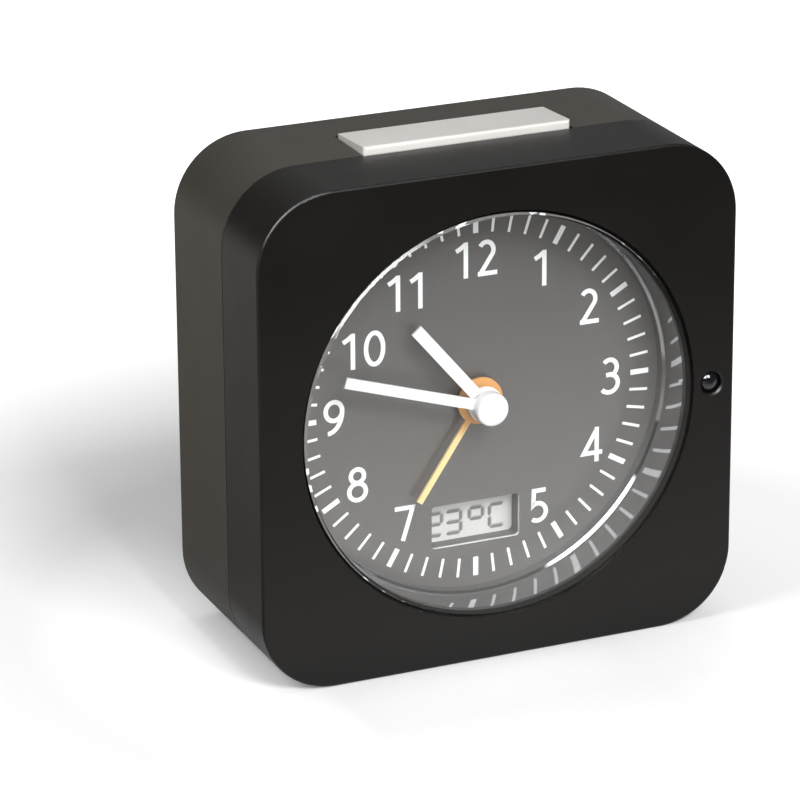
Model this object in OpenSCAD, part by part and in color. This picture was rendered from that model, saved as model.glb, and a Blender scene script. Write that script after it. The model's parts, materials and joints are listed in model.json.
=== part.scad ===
// Radio-controlled alarm clock: a square body with a round dial, a light bar on top, a small
// temperature display in the dial, and a stepping movement with its motion work and alarm setting.
// Depths are counted from the front face towards the back. Front views are drawn with X to the
// right and the second axis up, from the axis that the hands turn on.

/* [Body] */
// Width of the body
body_w = 90; // [88:1:104]
// Height of the body
body_h = 90; // [88:1:104]
// Radius of the four upright corners
corner_r = 13.6; // [11:0.2:16]
// Depth of the body from front to back
body_depth = 39.8; // [39.4:0.1:46]
// Depth of the front frame
front_depth = 15.8; // [15.4:0.1:16.2]
// Shadow gap along the parting line
seam_gap = 0.3; // [0.1:0.05:0.6]
// Side wall of both mouldings
wall = 2.2; // [1.8:0.1:2.6]
// Front wall round the lens
front_wall = 2.5; // [2.2:0.1:3]
// Back wall
back_wall = 2; // [1.6:0.1:2.4]
// Rounding of the front edge
front_edge = 0.5; // [0.3:0.1:1.2]
// Rounding of the back edge
back_edge = 1.5; // [0.8:0.1:1.8]
// Length of the spigot that enters the front frame
spigot_l = 1.7; // [1.2:0.1:1.9]
// Thickness of the spigot
spigot_t = 1.4; // [1:0.1:2]

/* [Lens and dial] */
// Radius of the lens
lens_r = 36.95; // [34:0.05:38]
// Thickness of the lens
lens_t = 1.8; // [1.2:0.1:2]
// How far the lens stands proud of the front
lens_proud = 0.2; // [0:0.05:0.4]
// Bevel on the front edge of the lens
lens_bevel = 0.55; // [0.2:0.05:0.8]
// Width of the ledge that the lens is glued to
ledge_w = 0.95; // [0.6:0.05:1.4]
// Wall of the mirror-finished ring between lens and dial
ring_wall = 0.9; // [0.7:0.1:1.2]
// Inward step at the foot of the ring
ring_step = 0.45; // [0.2:0.05:0.8]
// Height of that foot
ring_foot = 2.4; // [1:0.1:3.5]
// Width of the flange that the dial presses on
ring_flange = 1.1; // [0.6:0.1:1.2]
// Thickness of the locating rib round the ring
rib_t = 1; // [0.8:0.1:1.2]
// Depth of the dial's face
dial_depth = 11.6; // [11:0.1:11.8]
// Thickness of the dial
dial_t = 0.6; // [0.4:0.1:0.8]
// Radius of the hole in the middle of the dial
dial_hole_r = 3.6; // [3.5:0.1:4]
// Width of the display window
window_w = 17; // [15:0.5:19]
// Rounding of the corners of the display window
window_r = 0.7; // [0.2:0.1:1.5]
// Height of the display window
window_h = 8; // [7:0.5:9]
// Distance of the window's middle below the hand axis
window_drop = 23.4; // [23.2:0.1:24.4]
// Thickness of the plate that carries dial, display and movement
carrier_t = 2; // [1.8:0.1:2.2]

/* [Hands] */
// Length of the minute hand
minute_l = 28.2; // [20:0.1:30]
// Width of the minute hand
minute_w = 1.9; // [1.2:0.1:3]
// Where the minute hand points, in degrees clockwise from 12
minute_at = 287.5; // [0:0.5:359.5]
// Length of the hour hand
hour_l = 20.2; // [14:0.1:24]
// Width of the hour hand
hour_w = 2.2; // [1.4:0.1:3.4]
// Where the hour hand points
hour_at = 320; // [0:0.5:359.5]
// Length of the alarm hand
alarm_l = 20.9; // [14:0.1:24]
// Width of the alarm hand
alarm_w = 1.1; // [0.7:0.1:2]
// Where the alarm hand points
alarm_at = 214; // [0:0.5:359.5]
// Thickness of each hand
hand_t = 0.5; // [0.3:0.05:0.6]
// Depth of the front of the minute hand
minute_depth = 6; // [5.6:0.1:6.2]
// Depth of the front of the hour hand
hour_depth = 7.4; // [7.3:0.05:7.7]
// Depth of the front of the alarm hand
alarm_depth = 9.5; // [9:0.1:9.8]
// Radius of the hub of the hour hand
hour_hub_r = 3.2; // [2.6:0.1:3.8]
// Radius of the disc of the alarm hand
alarm_hub_r = 4.25; // [3.4:0.05:5]
// Radius of the cap over the minute hand
cap_r = 3; // [2.2:0.05:3.4]
// Depth of the front of the cap
cap_depth = 4; // [3.4:0.1:4.4]

/* [Light bar and sensor] */
// Length of the bar
bar_l = 39.2; // [30:0.2:44]
// Depth of the bar from front to back
bar_d = 11.8; // [10:0.1:12]
// How far the front of the bar stands proud of the top
bar_proud = 1.3; // [1:0.1:2]
// How far the top of the bar falls towards the back
bar_fall = 0.7; // [0:0.1:0.8]
// Distance of the bar's middle to the right of the clock's middle
bar_shift = 1.2; // [-3:0.1:3]
// Gap round the bar
bar_gap = 0.3; // [0.2:0.05:0.6]
// Thickness of the bar's skirt and top
bar_wall = 1.4; // [1:0.1:1.8]
// Travel of the bar
bar_travel = 0.9; // [0.4:0.1:1]
// Radius of the light sensor
sensor_r = 2; // [1.6:0.1:2.1]
// Distance of the sensor from the side of the body
sensor_edge = 4.3; // [4.2:0.1:4.6]
// Length of the light sensor
sensor_l = 6; // [5:0.5:8]

/* [Rear controls] */
// Radius of the alarm setting knob
knob_r = 7.2; // [6:0.1:8]
// How far the knob stands proud of the back
knob_proud = 1.6; // [0.6:0.1:3]
// Depth of the well round the knob
well_depth = 3; // [2:0.1:3.4]
// Number of grip flutes round the knob
knob_flutes = 20; // [12:1:28]
// Radius of each push button
button_r = 2.5; // [2:0.1:3]
// Distance between push buttons
button_pitch = 9; // [8:0.5:10]
// Height of the push buttons above the hand axis
button_rise = 17; // [16:0.5:18]
// Travel of each push button
button_travel = 0.6; // [0.3:0.1:0.8]
// Travel of the alarm switch
switch_travel = 4; // [3:0.5:5]
// Distance of the alarm switch to the right of the hand axis, from the front
switch_shift = 17; // [16:0.5:18]
// Number of sound slots
sound_slots = 5; // [3:2:7]
// Width of each sound slot
slot_w = 1.2; // [0.8:0.1:1.6]

/* [Battery bay] */
// Length of one AA cell
cell_l = 50.5; // [44.5:0.1:50.5]
// Diameter of one AA cell
cell_d = 14.5; // [10.5:0.1:14.5]
// Play round the cell
cell_play = 0.75; // [0.4:0.05:1]
// Height of the middle of the cell above the base
cell_rise = 12.8; // [12.5:0.1:13]
// Wall of the battery holder
holder_wall = 1.2; // [1:0.1:1.4]
// Room for the contact at each end
contact_room = 2.2; // [1.8:0.1:2.4]
// Height of the battery door
door_h = 24; // [23.5:0.5:26]
// Thickness of the battery door
door_t = 1.8; // [1.4:0.1:2]
// Width of the tongues that guide the door
tongue_w = 1; // [0.6:0.1:1.2]
// How far the door slides to come off
door_travel = 26; // [24:1:30]

/* [Movement] */
// Half the width of the movement's inside
case_half_w = 25.5; // [25:0.1:28]
// Inside of the movement below the hand axis
case_below = 14.4; // [13:0.1:14.6]
// Inside of the movement above the hand axis
case_above = 26.5; // [25.5:0.1:28]
// Wall of the movement's case
case_t = 1.2; // [1:0.1:1.4]
// Module of the gear teeth
gear_m = 0.4; // [0.36:0.01:0.42]
// Thickness of each wheel
gear_t = 1; // [0.8:0.05:1.1]
// Space between two layers of wheels
gear_gap = 0.35; // [0.3:0.05:0.4]
// Tooth thinning on each flank, for backlash
gear_play = 0.035; // [0.02:0.005:0.06]
// Thickness of the centre plate
centre_t = 1; // [0.8:0.1:1.2]
// Length of the rotor magnet
magnet_l = 2.4; // [2:0.1:2.6]
// Radius of the rotor magnet
magnet_r = 3; // [2:0.1:3.2]
// Radius of the coil
coil_r = 2.4; // [2:0.1:2.5]
// Length of the coil
coil_l = 12; // [9:0.5:12.5]
// Thickness of the stator plate
stator_t = 0.8; // [0.5:0.1:1]

/* [Boards and aerial] */
// Thickness of each circuit board
board_t = 1.2; // [0.8:0.1:1.6]
// Half the width of the main board
board_half_w = 33; // [32:0.5:35]
// Radius of the ferrite rod
rod_r = 4; // [3:0.1:4]
// Length of the ferrite rod
rod_l = 56; // [44:1:60]
// Height of the ferrite rod above the hand axis
rod_rise = 32; // [31.5:0.5:32.5]
// Length of the aerial winding
winding_l = 22; // [12:1:26]
// Radius of the buzzer disc
buzzer_r = 9; // [7:0.5:9]

/* [Fits] */
// Running clearance on a radius
run_fit = 0.06; // [0.03:0.01:0.09]
// Clearance between pieces fixed to each other
seat_fit = 0.02; // [0.01:0.01:0.05]
// Clearance round loose and sliding pieces
slide_fit = 0.2; // [0.15:0.05:0.3]

/* [Hidden] */
$fn = 48;

// Body
rear_depth = body_depth - seam_gap - front_depth;
axis_h = body_h / 2;
inner_w = body_w - 2 * wall;
inner_h = body_h - 2 * wall;
inner_r = corner_r - wall;
back_inner = body_depth - back_wall;
seam_back = front_depth + seam_gap;
spigot_gap = 0.3;
spigot_root = 2;
// How far bosses and ribs reach into the wall that they stand on, and cuts past a face
root = 0.5;
over = 1;

// Screws that hold the housing together
post_inset = 11;
post_z = body_h / 2 - post_inset;
post_r = 3.2;
tube_r = 4.2;
screw_r = 1.4;
screw_head_r = 2.7;
screw_head_t = 1.8;
screw_l = 18;
head_hole_r = 3;
head_deep = 11.4;
head_seat = body_depth - head_deep;
pilot_end = 1;

// Lens, ring and dial
lens_gap = 0.25;
opening_r = lens_r + lens_gap;
ledge_r = opening_r - ledge_w - lens_gap;
lens_back = lens_t - lens_proud;
ring_gap = 0.1;
ring_r = ledge_r - ring_gap;
ring_out = ring_r + ring_wall;
dial_r = ring_out + ring_flange;
rib_in = dial_r + slide_fit;
dial_back = dial_depth + dial_t;
carrier_back = dial_back + carrier_t;
carrier_gap = 0.4;
carrier_clear = 0.2;
post_end = carrier_back + carrier_clear;
spigot_front = max(seam_back - spigot_l, carrier_back + carrier_clear);
rib_end = dial_depth - 2;
ring_flange_t = 0.8;
carrier_slot_w = 5;
carrier_slot_h = 16;
carrier_slot_side = 8;
carrier_slot_rise = 12;
carrier_slot_r = 1.5;
carrier_screw_l = carrier_t + 4;
pad_r = 2.3;
pad_x = 25;
pad_inset = 5.8;
pad_z = inner_h / 2 - pad_inset;
small_screw_r = 1;
small_head_r = 1.9;
small_head_t = 1;

// Light sensor: level with the hands where the ring leaves room for it
sensor_x = body_w / 2 - sensor_edge;
sensor_wall = 0.4;
sensor_boss = 1.1;
sensor_cone = 0.9;
sensor_cone_front = 0.3;
sensor_cone_t = 0.8;
sensor_sag = 1.1;
sensor_rise = sqrt(max(0, pow(rib_in + sensor_r + sensor_wall, 2) - pow(sensor_x, 2)));
sensor_pos = [sensor_x, sensor_rise];

// Display
glass_side = 2;
glass_rim = 2.2;
glass_w = window_w + 2 * glass_side;
glass_h = window_h + 2 * glass_rim;
glass_t = 1.8;
glass_set = 1;
glass_front = carrier_back + glass_set;
glass_mid = glass_front + glass_t / 2;
glass_back = glass_front + glass_t;
window_set = 0.2;
pin_ledge = 2.2;
zebra_h = 1.6;
zebra_l = 2.2;
zebra_side = 1;
lcd_board_front = glass_mid + zebra_l;
lcd_board_t = 1;
lcd_board_side = 3.5;
lcd_board_rim = 1;
lcd_board_w = glass_w + 2 * lcd_board_side;
lcd_board_h = glass_h + 2 * lcd_board_rim;
lcd_board_back = lcd_board_front + lcd_board_t;
pocket_t = 1;
pocket_lip = 0.4;
lcd_post_r = 1.5;
lcd_post_in = 1.6;
lcd_chip_shift = -4;
lcd_chip_r = 4;
lcd_chip_t = 1.2;
lamp_w = 1.6;
lamp_h = 3;
lamp_t = 1.4;
lamp_gap = 0.2;
lamp_rise = 4;
cable_w = 10;
cable_shift = -5;
cable_t = 0.3;
cable_drop = 1.1;
cable_end = 2;

// Movement: the layers of wheels, counted from the front
layer_pitch = gear_t + gear_gap;
case_front = carrier_back;
case_inner = case_front + case_t;
end_play = 0.3;
layer_1 = case_inner + end_play;
layer_2 = layer_1 + layer_pitch;
layer_3 = layer_2 + layer_pitch;
centre_front = layer_3 + layer_pitch;
centre_back = centre_front + centre_t;
layer_4 = centre_back + gear_gap;
layer_5 = layer_4 + layer_pitch;
magnet_gap = 0.2;
magnet_front = layer_5 + gear_t + magnet_gap;
magnet_mid = magnet_front + magnet_l / 2;
case_back = max(magnet_mid + coil_r, magnet_front + magnet_l) + end_play;
case_end = case_back + case_t;
case_r = 3;

// Teeth of each wheel and pinion
centre_teeth = 60;
step_teeth = 10;
step_wheel_teeth = 50;
rotor_teeth = 10;
minute_teeth = 12;
idler_teeth = 36;
idler_leaf_teeth = 10;
hour_teeth = 40;
alarm_teeth = 40;
set_teeth = 30;
leaf_shift = 0.42;
pressure = 20;

// Centre distances and places of the arbors, from the hand axis
step_r = gear_m * (centre_teeth + step_teeth) / 2;
rotor_gap = gear_m * (step_wheel_teeth + rotor_teeth) / 2;
idler_r = gear_m * (hour_teeth + idler_leaf_teeth) / 2;
idler_m = 2 * idler_r / (minute_teeth + idler_teeth);
set_r = gear_m * (alarm_teeth + set_teeth) / 2;
step_pos = [0, step_r];
rotor_pos = [rotor_gap, step_r];
idler_pos = [idler_r, 0];
set_pos = [-set_r, 0];
core_gap = 3;
core_x = rotor_pos[0] + magnet_r + coil_r + core_gap;
core_w = 2;
stator_post_r = 1.1;

// Arbors and pipes
arbor_r = 0.8;
pivot_r = 0.4;
hour_pipe_r = 1.5;
alarm_pipe_r = 2.2;
nose_r = 3.4;
nose_proud = 0.4;
nose_gap = 0.15;
idler_stud_r = 0.8;
set_shaft_r = 1;
cap_wall = 0.9;
cap_lip = 0.15;
collar_wall = 0.8;
collar_gap = 0.3;
cap_edge = 0.5;
case_post_r = 2.1;
case_shoulder = 0.9;
case_post_side = 2.4;
case_post_top = 2.6;
case_post_x = case_half_w - case_post_side;
case_post_low = case_below - case_post_side;
case_post_high = case_above - case_post_top;

// Boards behind the movement
board_gap = 0.4;
board_front = case_end + small_head_t + board_gap;
board_back = board_front + board_t;
board_low = -case_below - slide_fit;
board_high = 25.5;
board_post_side = 3;
board_post_end = 2.6;
board_post_x = board_half_w - board_post_side;
board_post_low = board_low + board_post_end;
board_post_high = board_high - board_post_end;
board_post_r = 2.4;
board_screw_l = board_t + 4;

// Push buttons and their switches
key_h = 3.4;
key_w = 6;
key_stem_r = 1.7;
key_stem = 0.7;
button_flange = 0.8;
button_gap = 0.25;
button_proud = 0.7;
button_x = switch_shift;
radio_chip_place = [2, 6];
radio_chip_w = 9;
radio_chip_h = 7;
radio_chip_t = 1.4;
chip_leads = 7;
chip_lead_pitch = 1.2;
chip_lead_w = 0.5;
chip_lead_l = 1.2;
crystal_l = 8;
crystal_r = 1.48;
crystal_place = [-2, -4];
crystal_pitch = 4;
plate_t = 0.8;
slider_l = 5;
slider_h = 3;
lever_w = 1.2;
slider_edge = 3;
slider_proud = 0.9;
fork_h = 1.2;
fork_t = 1;
fork_w = 2.4;
notch_w = 0.6;
notch_deep = 0.4;
notch_pitch = 1.5;
guide_t = 1;
guide_h = 1.6;
guide_gap = 0.5;
switch_body_w = 9;
switch_body_h = 3.6;

// Knob
well_gap = 0.9;
well_wall = 1.2;
well_floor = body_depth - well_depth;
knob_shift = set_pos[0];

// Buzzer
buzzer_t = 0.6;
buzzer_x = -16;
buzzer_gap = 1;
buzzer_pos = [buzzer_x, knob_r + well_gap + well_wall + buzzer_r + buzzer_gap];
buzzer_seat = 0.5;

// Battery bay
ledge_t = 1.2;
door_inner = body_depth - door_t - slide_fit;
mouth_inner = door_inner - ledge_t;
bay_half_l = cell_l / 2 + contact_room;
bay_half_h = cell_d / 2 + cell_play;
bay_deep = cell_d + cell_play;
bay_z = cell_rise - axis_h;
mouth_play = 0.6;
mouth_half_l = cell_l / 2 + mouth_play;
door_lap = 2.15;
door_half_w = mouth_half_l + door_lap;
holder_floor = mouth_inner - bay_deep + ledge_t;
contact_t = 0.4;
contact_side = 1.5;
contact_end = 1;
contact_play = 0.2;
contact_bend = 5;
button_r1 = 3;
button_r2 = 2.4;
button_short = 0.6;
door_low = 0.3;
tongue_t = 0.8;
tongue_low = 2;
tongue_root = 0.5;
door_pad = 3;
door_grips = 5;
grip_l = 14;
grip_w = 0.7;
grip_pitch = 1.6;
grip_deep = 0.4;
grip_top = 3;
post_x = max(body_w / 2 - post_inset, bay_half_l + holder_wall + tube_r + seam_gap);

// Light bar
bar_set = 0.2;
bar_front = seam_back + bar_gap + bar_set;
bar_back = bar_front + bar_d;
bar_top = body_h + bar_proud;
bar_flange = 1;
bar_flange_t = 1;
bar_room = 2.4;
bar_edge = 0.5;
bar_r = 0.7;
bar_skirt = 1.1;
bar_low = body_h - wall - bar_skirt;
bar_boss_w = 4;
bar_rib_t = 1;
snooze_floor = 7.2;
snooze_board_z = body_h - wall - snooze_floor;
snooze_post_gap = 3.6;
snooze_post_x = bar_l / 2 + snooze_post_gap;
snooze_post_w = 3;
snooze_d = 8;
snooze_mid = (bar_front + bar_back) / 2;
snooze_key_h = 3.4;
snooze_stem = 0.9;

// Ferrite rod
winding_t = 1.1;
rod_gap = 0.3;
rod_depth = back_inner - rod_r - winding_t - rod_gap;
clip_t = 2;
clip_inset = 4;
clip_x = rod_l / 2 - clip_inset;

function depth_y(depth) = depth - body_depth / 2;

// Places a piece that grows towards the viewer from the given depth
module at(place, depth)
    translate([place[0], depth_y(depth), axis_h + place[1]])
        rotate([90, 0, 0])
            children();

// Extrudes a front view from one depth back to another
module span(front, back)
    at([0, 0], back)
        linear_extrude(back - front)
            children();

// A round bar or disc along the hands' direction
module disc(place, front, back, r)
    at(place, back)
        cylinder(r = r, h = back - front);

// A turned piece whose outline holds [radius, height above the given depth]
module turned(place, depth, outline)
    at(place, depth)
        rotate_extrude()
            polygon(outline);

module round_rect(w, h, r) {
    square([w - 2 * r, h], center = true);
    square([w, h - 2 * r], center = true);
    for (sx = [-1, 1], sy = [-1, 1])
        translate([sx * (w / 2 - r), sy * (h / 2 - r)])
            circle(r);
}

module corners(x, y)
    for (sx = [-1, 1], sy = [-1, 1])
        translate([sx * x, sy * y])
            children();

// Section of a slab with rounded upper edges
module slab_section(half, t, edge) {
    translate([-half, 0])
        square([2 * half, t - edge]);
    translate([edge - half, 0])
        square([2 * (half - edge), t]);
    for (s = [-1, 1])
        translate([s * (half - edge), t - edge])
            circle(edge);
}

// A rounded square slab whose upper edge is rounded all the way round
module soft_slab(w, h, r, t, edge) {
    corners(w / 2 - r, h / 2 - r)
        rotate_extrude()
            intersection() {
                slab_section(r, t, edge);
                square([r, t]);
            }
    translate([-w / 2 + r, 0, 0])
        rotate([90, 0, 90])
            linear_extrude(w - 2 * r)
                slab_section(h / 2, t, edge);
    translate([0, h / 2 - r, 0])
        rotate([90, 0, 0])
            linear_extrude(h - 2 * r)
                slab_section(w / 2, t, edge);
}

// Involute teeth
function involute_deg(a) = tan(a) * 180 / PI - a;

function tooth_half(r, rb, half) =
    half + involute_deg(pressure) - (r > rb ? involute_deg(acos(rb / r)) : 0);

function gear_points(teeth, m, shift) =
    let (rp = m * teeth / 2,
        rb = rp * cos(pressure),
        tip = rp + m * (1 + shift) - 0.02,
        root = rp - m * (1.25 - shift),
        low = max(rb, root),
        half = 90 / teeth + (2 * shift * tan(pressure) / teeth - gear_play / rp) * 180 / PI,
        flank = [for (i = [0:4]) low + (tip - low) * i / 4],
        side = concat([[root, tooth_half(low, rb, half)]],
            [for (r = flank) [r, tooth_half(r, rb, half)]]))
    [for (k = [0:teeth - 1], s = [-1, 1], i = [0:5])
        let (p = side[s < 0 ? i : 5 - i], a = 360 * k / teeth + s * p[1])
            p[0] * [cos(a), sin(a)]];

// The turn that puts a wheel in mesh with a driver that stands at phase, in direction towards
function mesh_turn(towards, phase, driver, teeth) =
    towards + 180 + 180 / teeth - (phase - towards) * driver / teeth;

module gear(place, front, teeth, m, shift, turn)
    at(place, front + gear_t)
        rotate([0, 0, turn])
            linear_extrude(gear_t)
                polygon(gear_points(teeth, m, shift));

step_turn = mesh_turn(90, 0, centre_teeth, step_teeth);
rotor_turn = mesh_turn(0, 0, step_wheel_teeth, rotor_teeth);
idler_turn = mesh_turn(0, 0, minute_teeth, idler_teeth);
hour_turn = mesh_turn(180, 0, idler_leaf_teeth, hour_teeth);
set_turn = mesh_turn(180, 0, alarm_teeth, set_teeth);

// Body mouldings

module front_frame() color([0.16, 0.16, 0.16]) difference() {
    union() {
        difference() {
            at([0, 0], front_depth)
                soft_slab(body_w, body_h, corner_r, front_depth, front_edge);
            span(front_wall, front_depth + over)
                round_rect(inner_w, inner_h, inner_r);
        }
        span(front_wall - root, rib_end)
            difference() {
                circle(rib_in + rib_t);
                circle(rib_in);
            }
        span(front_wall - root, post_end)
            corners(post_x, post_z)
                circle(post_r);
        span(front_wall - root, dial_back)
            corners(pad_x, pad_z)
                circle(pad_r);
        disc(sensor_pos, front_wall - root, sensor_l, sensor_r + sensor_boss);
    }
    disc([0, 0], -over, lens_back, opening_r);
    disc([0, 0], -over, front_wall + over, ledge_r);
    disc([0, 0], front_wall, front_depth, rib_in);
    disc(sensor_pos, -over, front_depth, sensor_r + seat_fit);
    at(sensor_pos, sensor_cone_front)
        cylinder(r1 = sensor_r + seat_fit, r2 = sensor_r + sensor_cone, h = sensor_cone_t);
    span(head_seat - screw_l - pilot_end, post_end + over)
        corners(post_x, post_z)
            circle(screw_r + seat_fit);
    span(carrier_back - carrier_screw_l - pilot_end, dial_back + over)
        corners(pad_x, pad_z)
            circle(small_screw_r + seat_fit);
}

module rear_housing() color([0.3, 0.285, 0.265]) difference() {
    union() {
        difference() {
            translate([0, depth_y(seam_back), axis_h])
                rotate([-90, 0, 0])
                    soft_slab(body_w, body_h, corner_r, rear_depth, back_edge);
            span(seam_back - over, back_inner)
                round_rect(inner_w, inner_h, inner_r);
        }
        spigot();
        span(post_end + seat_fit, back_inner + root)
            corners(post_x, post_z)
                circle(tube_r);
        span(mouth_inner, back_inner + root)
            translate([0, (door_h + 2 - axis_h - body_h / 2 + wall) / 2])
                square([2 * (door_half_w + door_pad), door_h + 2 - wall + 1], center = true);
        disc([knob_shift, 0], well_floor - well_wall, back_inner + root, knob_r + well_gap + well_wall);
        span(board_back, back_inner + root)
            for (x = [-board_post_x, board_post_x], z = [board_post_low, board_post_high])
                translate([x, z])
                    circle(board_post_r);
        span(back_inner - buzzer_seat, back_inner + root)
            translate(buzzer_pos)
                difference() {
                    circle(buzzer_r + 1);
                    circle(buzzer_r - 1);
                }
        switch_guides();
        rod_clips();
        snooze_posts();
    }
    span(head_seat, body_depth + over)
        corners(post_x, post_z)
            circle(head_hole_r);
    span(post_end - over, head_seat + over)
        corners(post_x, post_z)
            circle(screw_r + slide_fit);
    door_space();
    disc([knob_shift, 0], well_floor, body_depth + over, knob_r + well_gap);
    disc([knob_shift, 0], well_floor - well_wall - over, well_floor + over, set_shaft_r + run_fit);
    for (i = [-1:1])
        disc([button_x + i * button_pitch, button_rise], back_inner - over, body_depth + over,
            button_r + slide_fit);
    span(back_inner - over, body_depth + over)
        translate([switch_shift, 0])
            square([slider_l + switch_travel + 2 * slide_fit, slider_h + 2 * slide_fit], center = true);
    span(back_inner - over, body_depth + over)
        translate(buzzer_pos)
            sound_pattern();
    span(board_back - over, board_back + board_screw_l - board_t + over)
        for (x = [-board_post_x, board_post_x], z = [board_post_low, board_post_high])
            translate([x, z])
                circle(small_screw_r + seat_fit);
    bar_space();
}

// The spigot stands on a root inside the wall, enters the front frame and stops short of the carrier
module spigot() {
    span(spigot_front, seam_back + 0.1)
        rim(spigot_gap, spigot_gap + spigot_t);
    span(seam_back, seam_back + spigot_root)
        rim(-wall / 2, spigot_gap + spigot_t);
}

// A band that follows the inside of the walls between two distances from them
module rim(outer, inner)
    difference() {
        round_rect(inner_w - 2 * outer, inner_h - 2 * outer, inner_r - outer);
        round_rect(inner_w - 2 * inner, inner_h - 2 * inner, inner_r - inner);
    }

// Room for the battery door, its tongues and the mouth of the bay
module door_space() {
    translate([-door_half_w - slide_fit, depth_y(door_inner), -1])
        cube([2 * (door_half_w + slide_fit), door_t + 2, door_h + slide_fit + 1]);
    translate([-door_half_w - tongue_w - slide_fit, depth_y(door_inner), -1])
        cube([2 * (door_half_w + tongue_w + slide_fit), tongue_t + 2 * slide_fit, door_h + slide_fit + 1]);
    span(mouth_inner - 1, door_inner + 1)
        translate([0, bay_z])
            square([2 * mouth_half_l, 2 * bay_half_h], center = true);
}

module sound_pattern()
    for (i = [-(sound_slots - 1) / 2:(sound_slots - 1) / 2]) {
        half = sqrt(pow(buzzer_r - 2.6, 2) - pow(i * 2 * slot_w, 2));
        translate([0, i * 2 * slot_w])
            square([2 * half, slot_w], center = true);
        for (s = [-1, 1])
            translate([s * half, i * 2 * slot_w])
                circle(slot_w / 2);
    }

module switch_guides()
    span(back_inner - guide_h, back_inner + root)
        for (s = [-1, 1])
            translate([switch_shift, s * ((slider_h + slider_edge) / 2 + slide_fit + guide_gap)])
                square([slider_l + 2 * (switch_travel + guide_t), guide_t], center = true);

// Saddles that the ferrite rod lies in
module rod_clips()
    for (s = [-1, 1])
        translate([s * clip_x - clip_t / 2, 0, 0])
            difference() {
                translate([0, depth_y(rod_depth), axis_h + rod_rise - rod_r - 1.2])
                    cube([clip_t, back_inner + root - rod_depth, 2 * rod_r + 2.4]);
                translate([-1, depth_y(rod_depth), axis_h + rod_rise])
                    rotate([0, 90, 0])
                        cylinder(r = rod_r + seat_fit, h = clip_t + 2);
            }

// Two hangers carry the small board below the light bar
module snooze_posts()
    for (s = [-1, 1])
        translate([bar_shift + s * snooze_post_x - snooze_post_w / 2, depth_y(snooze_mid) - snooze_d / 2,
                snooze_board_z])
            cube([snooze_post_w, snooze_d, snooze_floor + 0.5]);

// The notch in the top wall that the light bar works in, wider below the wall for its flanges
module bar_space() {
    front = depth_y(spigot_front) - over;
    back = depth_y(bar_back) + bar_gap;
    low = body_h - wall - bar_room;
    half = bar_l / 2 + bar_gap;
    translate([bar_shift - half, front, low])
        cube([2 * half, back - front, bar_room + wall + 1]);
    translate([bar_shift - half - bar_flange, front, low])
        cube([2 * (half + bar_flange), back - front, bar_room]);
}

module housing_screws() color([0.6, 0.6, 0.62])
    for (sx = [-1, 1], sz = [-1, 1])
        screw([sx * post_x, sz * post_z], head_seat + seat_fit, screw_r, screw_head_r, screw_head_t, screw_l);

// A pan head screw driven from the back, with a cross recess
module screw(place, seat, r, head_r, head_t, l)
    difference() {
        union() {
            disc(place, seat - l, seat, r);
            disc(place, seat, seat + head_t, head_r);
        }
        for (a = [0, 90])
            at(place, seat + head_t + 1)
                rotate([0, 0, a])
                    translate([-head_r * 0.6, -head_r * 0.13, 0])
                        cube([head_r * 1.2, head_r * 0.26, 1 + head_t * 0.45]);
    }

// Lens, ring and dial

module lens() color([0.85, 0.9, 0.92, 0.3])
    turned([0, 0], lens_back, [[0, 0], [lens_r, 0], [lens_r, lens_t - lens_bevel],
        [lens_r - lens_bevel, lens_t], [0, lens_t]]);

module mirror_ring() color([0.75, 0.76, 0.78]) {
    height = dial_depth - front_wall;
    turned([0, 0], dial_depth, [[ring_r - ring_step, 0], [dial_r, 0], [dial_r, ring_flange_t],
        [ring_out, ring_flange_t],
        [ring_out, height], [ring_r, height], [ring_r, ring_foot], [ring_r - ring_step, ring_foot - ring_step]]);
}

module dial() color([0.47, 0.46, 0.46])
    span(dial_depth, dial_back)
        difference() {
            circle(dial_r);
            circle(dial_hole_r);
            translate([0, -window_drop])
                round_rect(window_w, window_h, window_r);
        }

module dial_carrier() color([0.86, 0.86, 0.84]) difference() {
    union() {
        span(dial_back, carrier_back)
            round_rect(inner_w - 2 * carrier_gap, inner_h - 2 * carrier_gap, inner_r - carrier_gap);
        span(dial_back, glass_back + pocket_lip)
            translate([0, -window_drop])
                square([glass_w + 2 * pocket_t, glass_h + 2 * pocket_t - 2 * seat_fit], center = true);
        span(carrier_back - root, lcd_board_front)
            for (s = [-1, 1])
                translate([s * (lcd_board_w / 2 - lcd_post_in), -window_drop])
                    circle(lcd_post_r);
    }
    span(glass_front, glass_back + over)
        translate([0, -window_drop])
            square([glass_w + 2 * seat_fit, glass_h + 2 * seat_fit], center = true);
    span(dial_back - over, glass_front + over)
        translate([0, -window_drop])
            round_rect(window_w + 2 * window_set, window_h + 2 * window_set, window_r + window_set);
    disc([0, 0], dial_back - over, carrier_back + over, nose_r + nose_gap);
    span(dial_back - over, carrier_back + over)
        corners(post_x, post_z)
            circle(post_r + carrier_gap);
    span(dial_back - over, carrier_back + over)
        corners(pad_x, pad_z)
            circle(small_screw_r + slide_fit);
    span(dial_back - over, carrier_back + over)
        case_posts()
            circle(small_screw_r + seat_fit);
    span(dial_back - over, carrier_back + over)
        corners(inner_w / 2 - carrier_slot_side, carrier_slot_rise)
            round_rect(carrier_slot_w, carrier_slot_h, carrier_slot_r);
}

module carrier_screws() color([0.7, 0.7, 0.68])
    for (sx = [-1, 1], sz = [-1, 1])
        screw([sx * pad_x, sz * pad_z], carrier_back + seat_fit, small_screw_r, small_head_r, small_head_t,
            carrier_screw_l);

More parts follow.
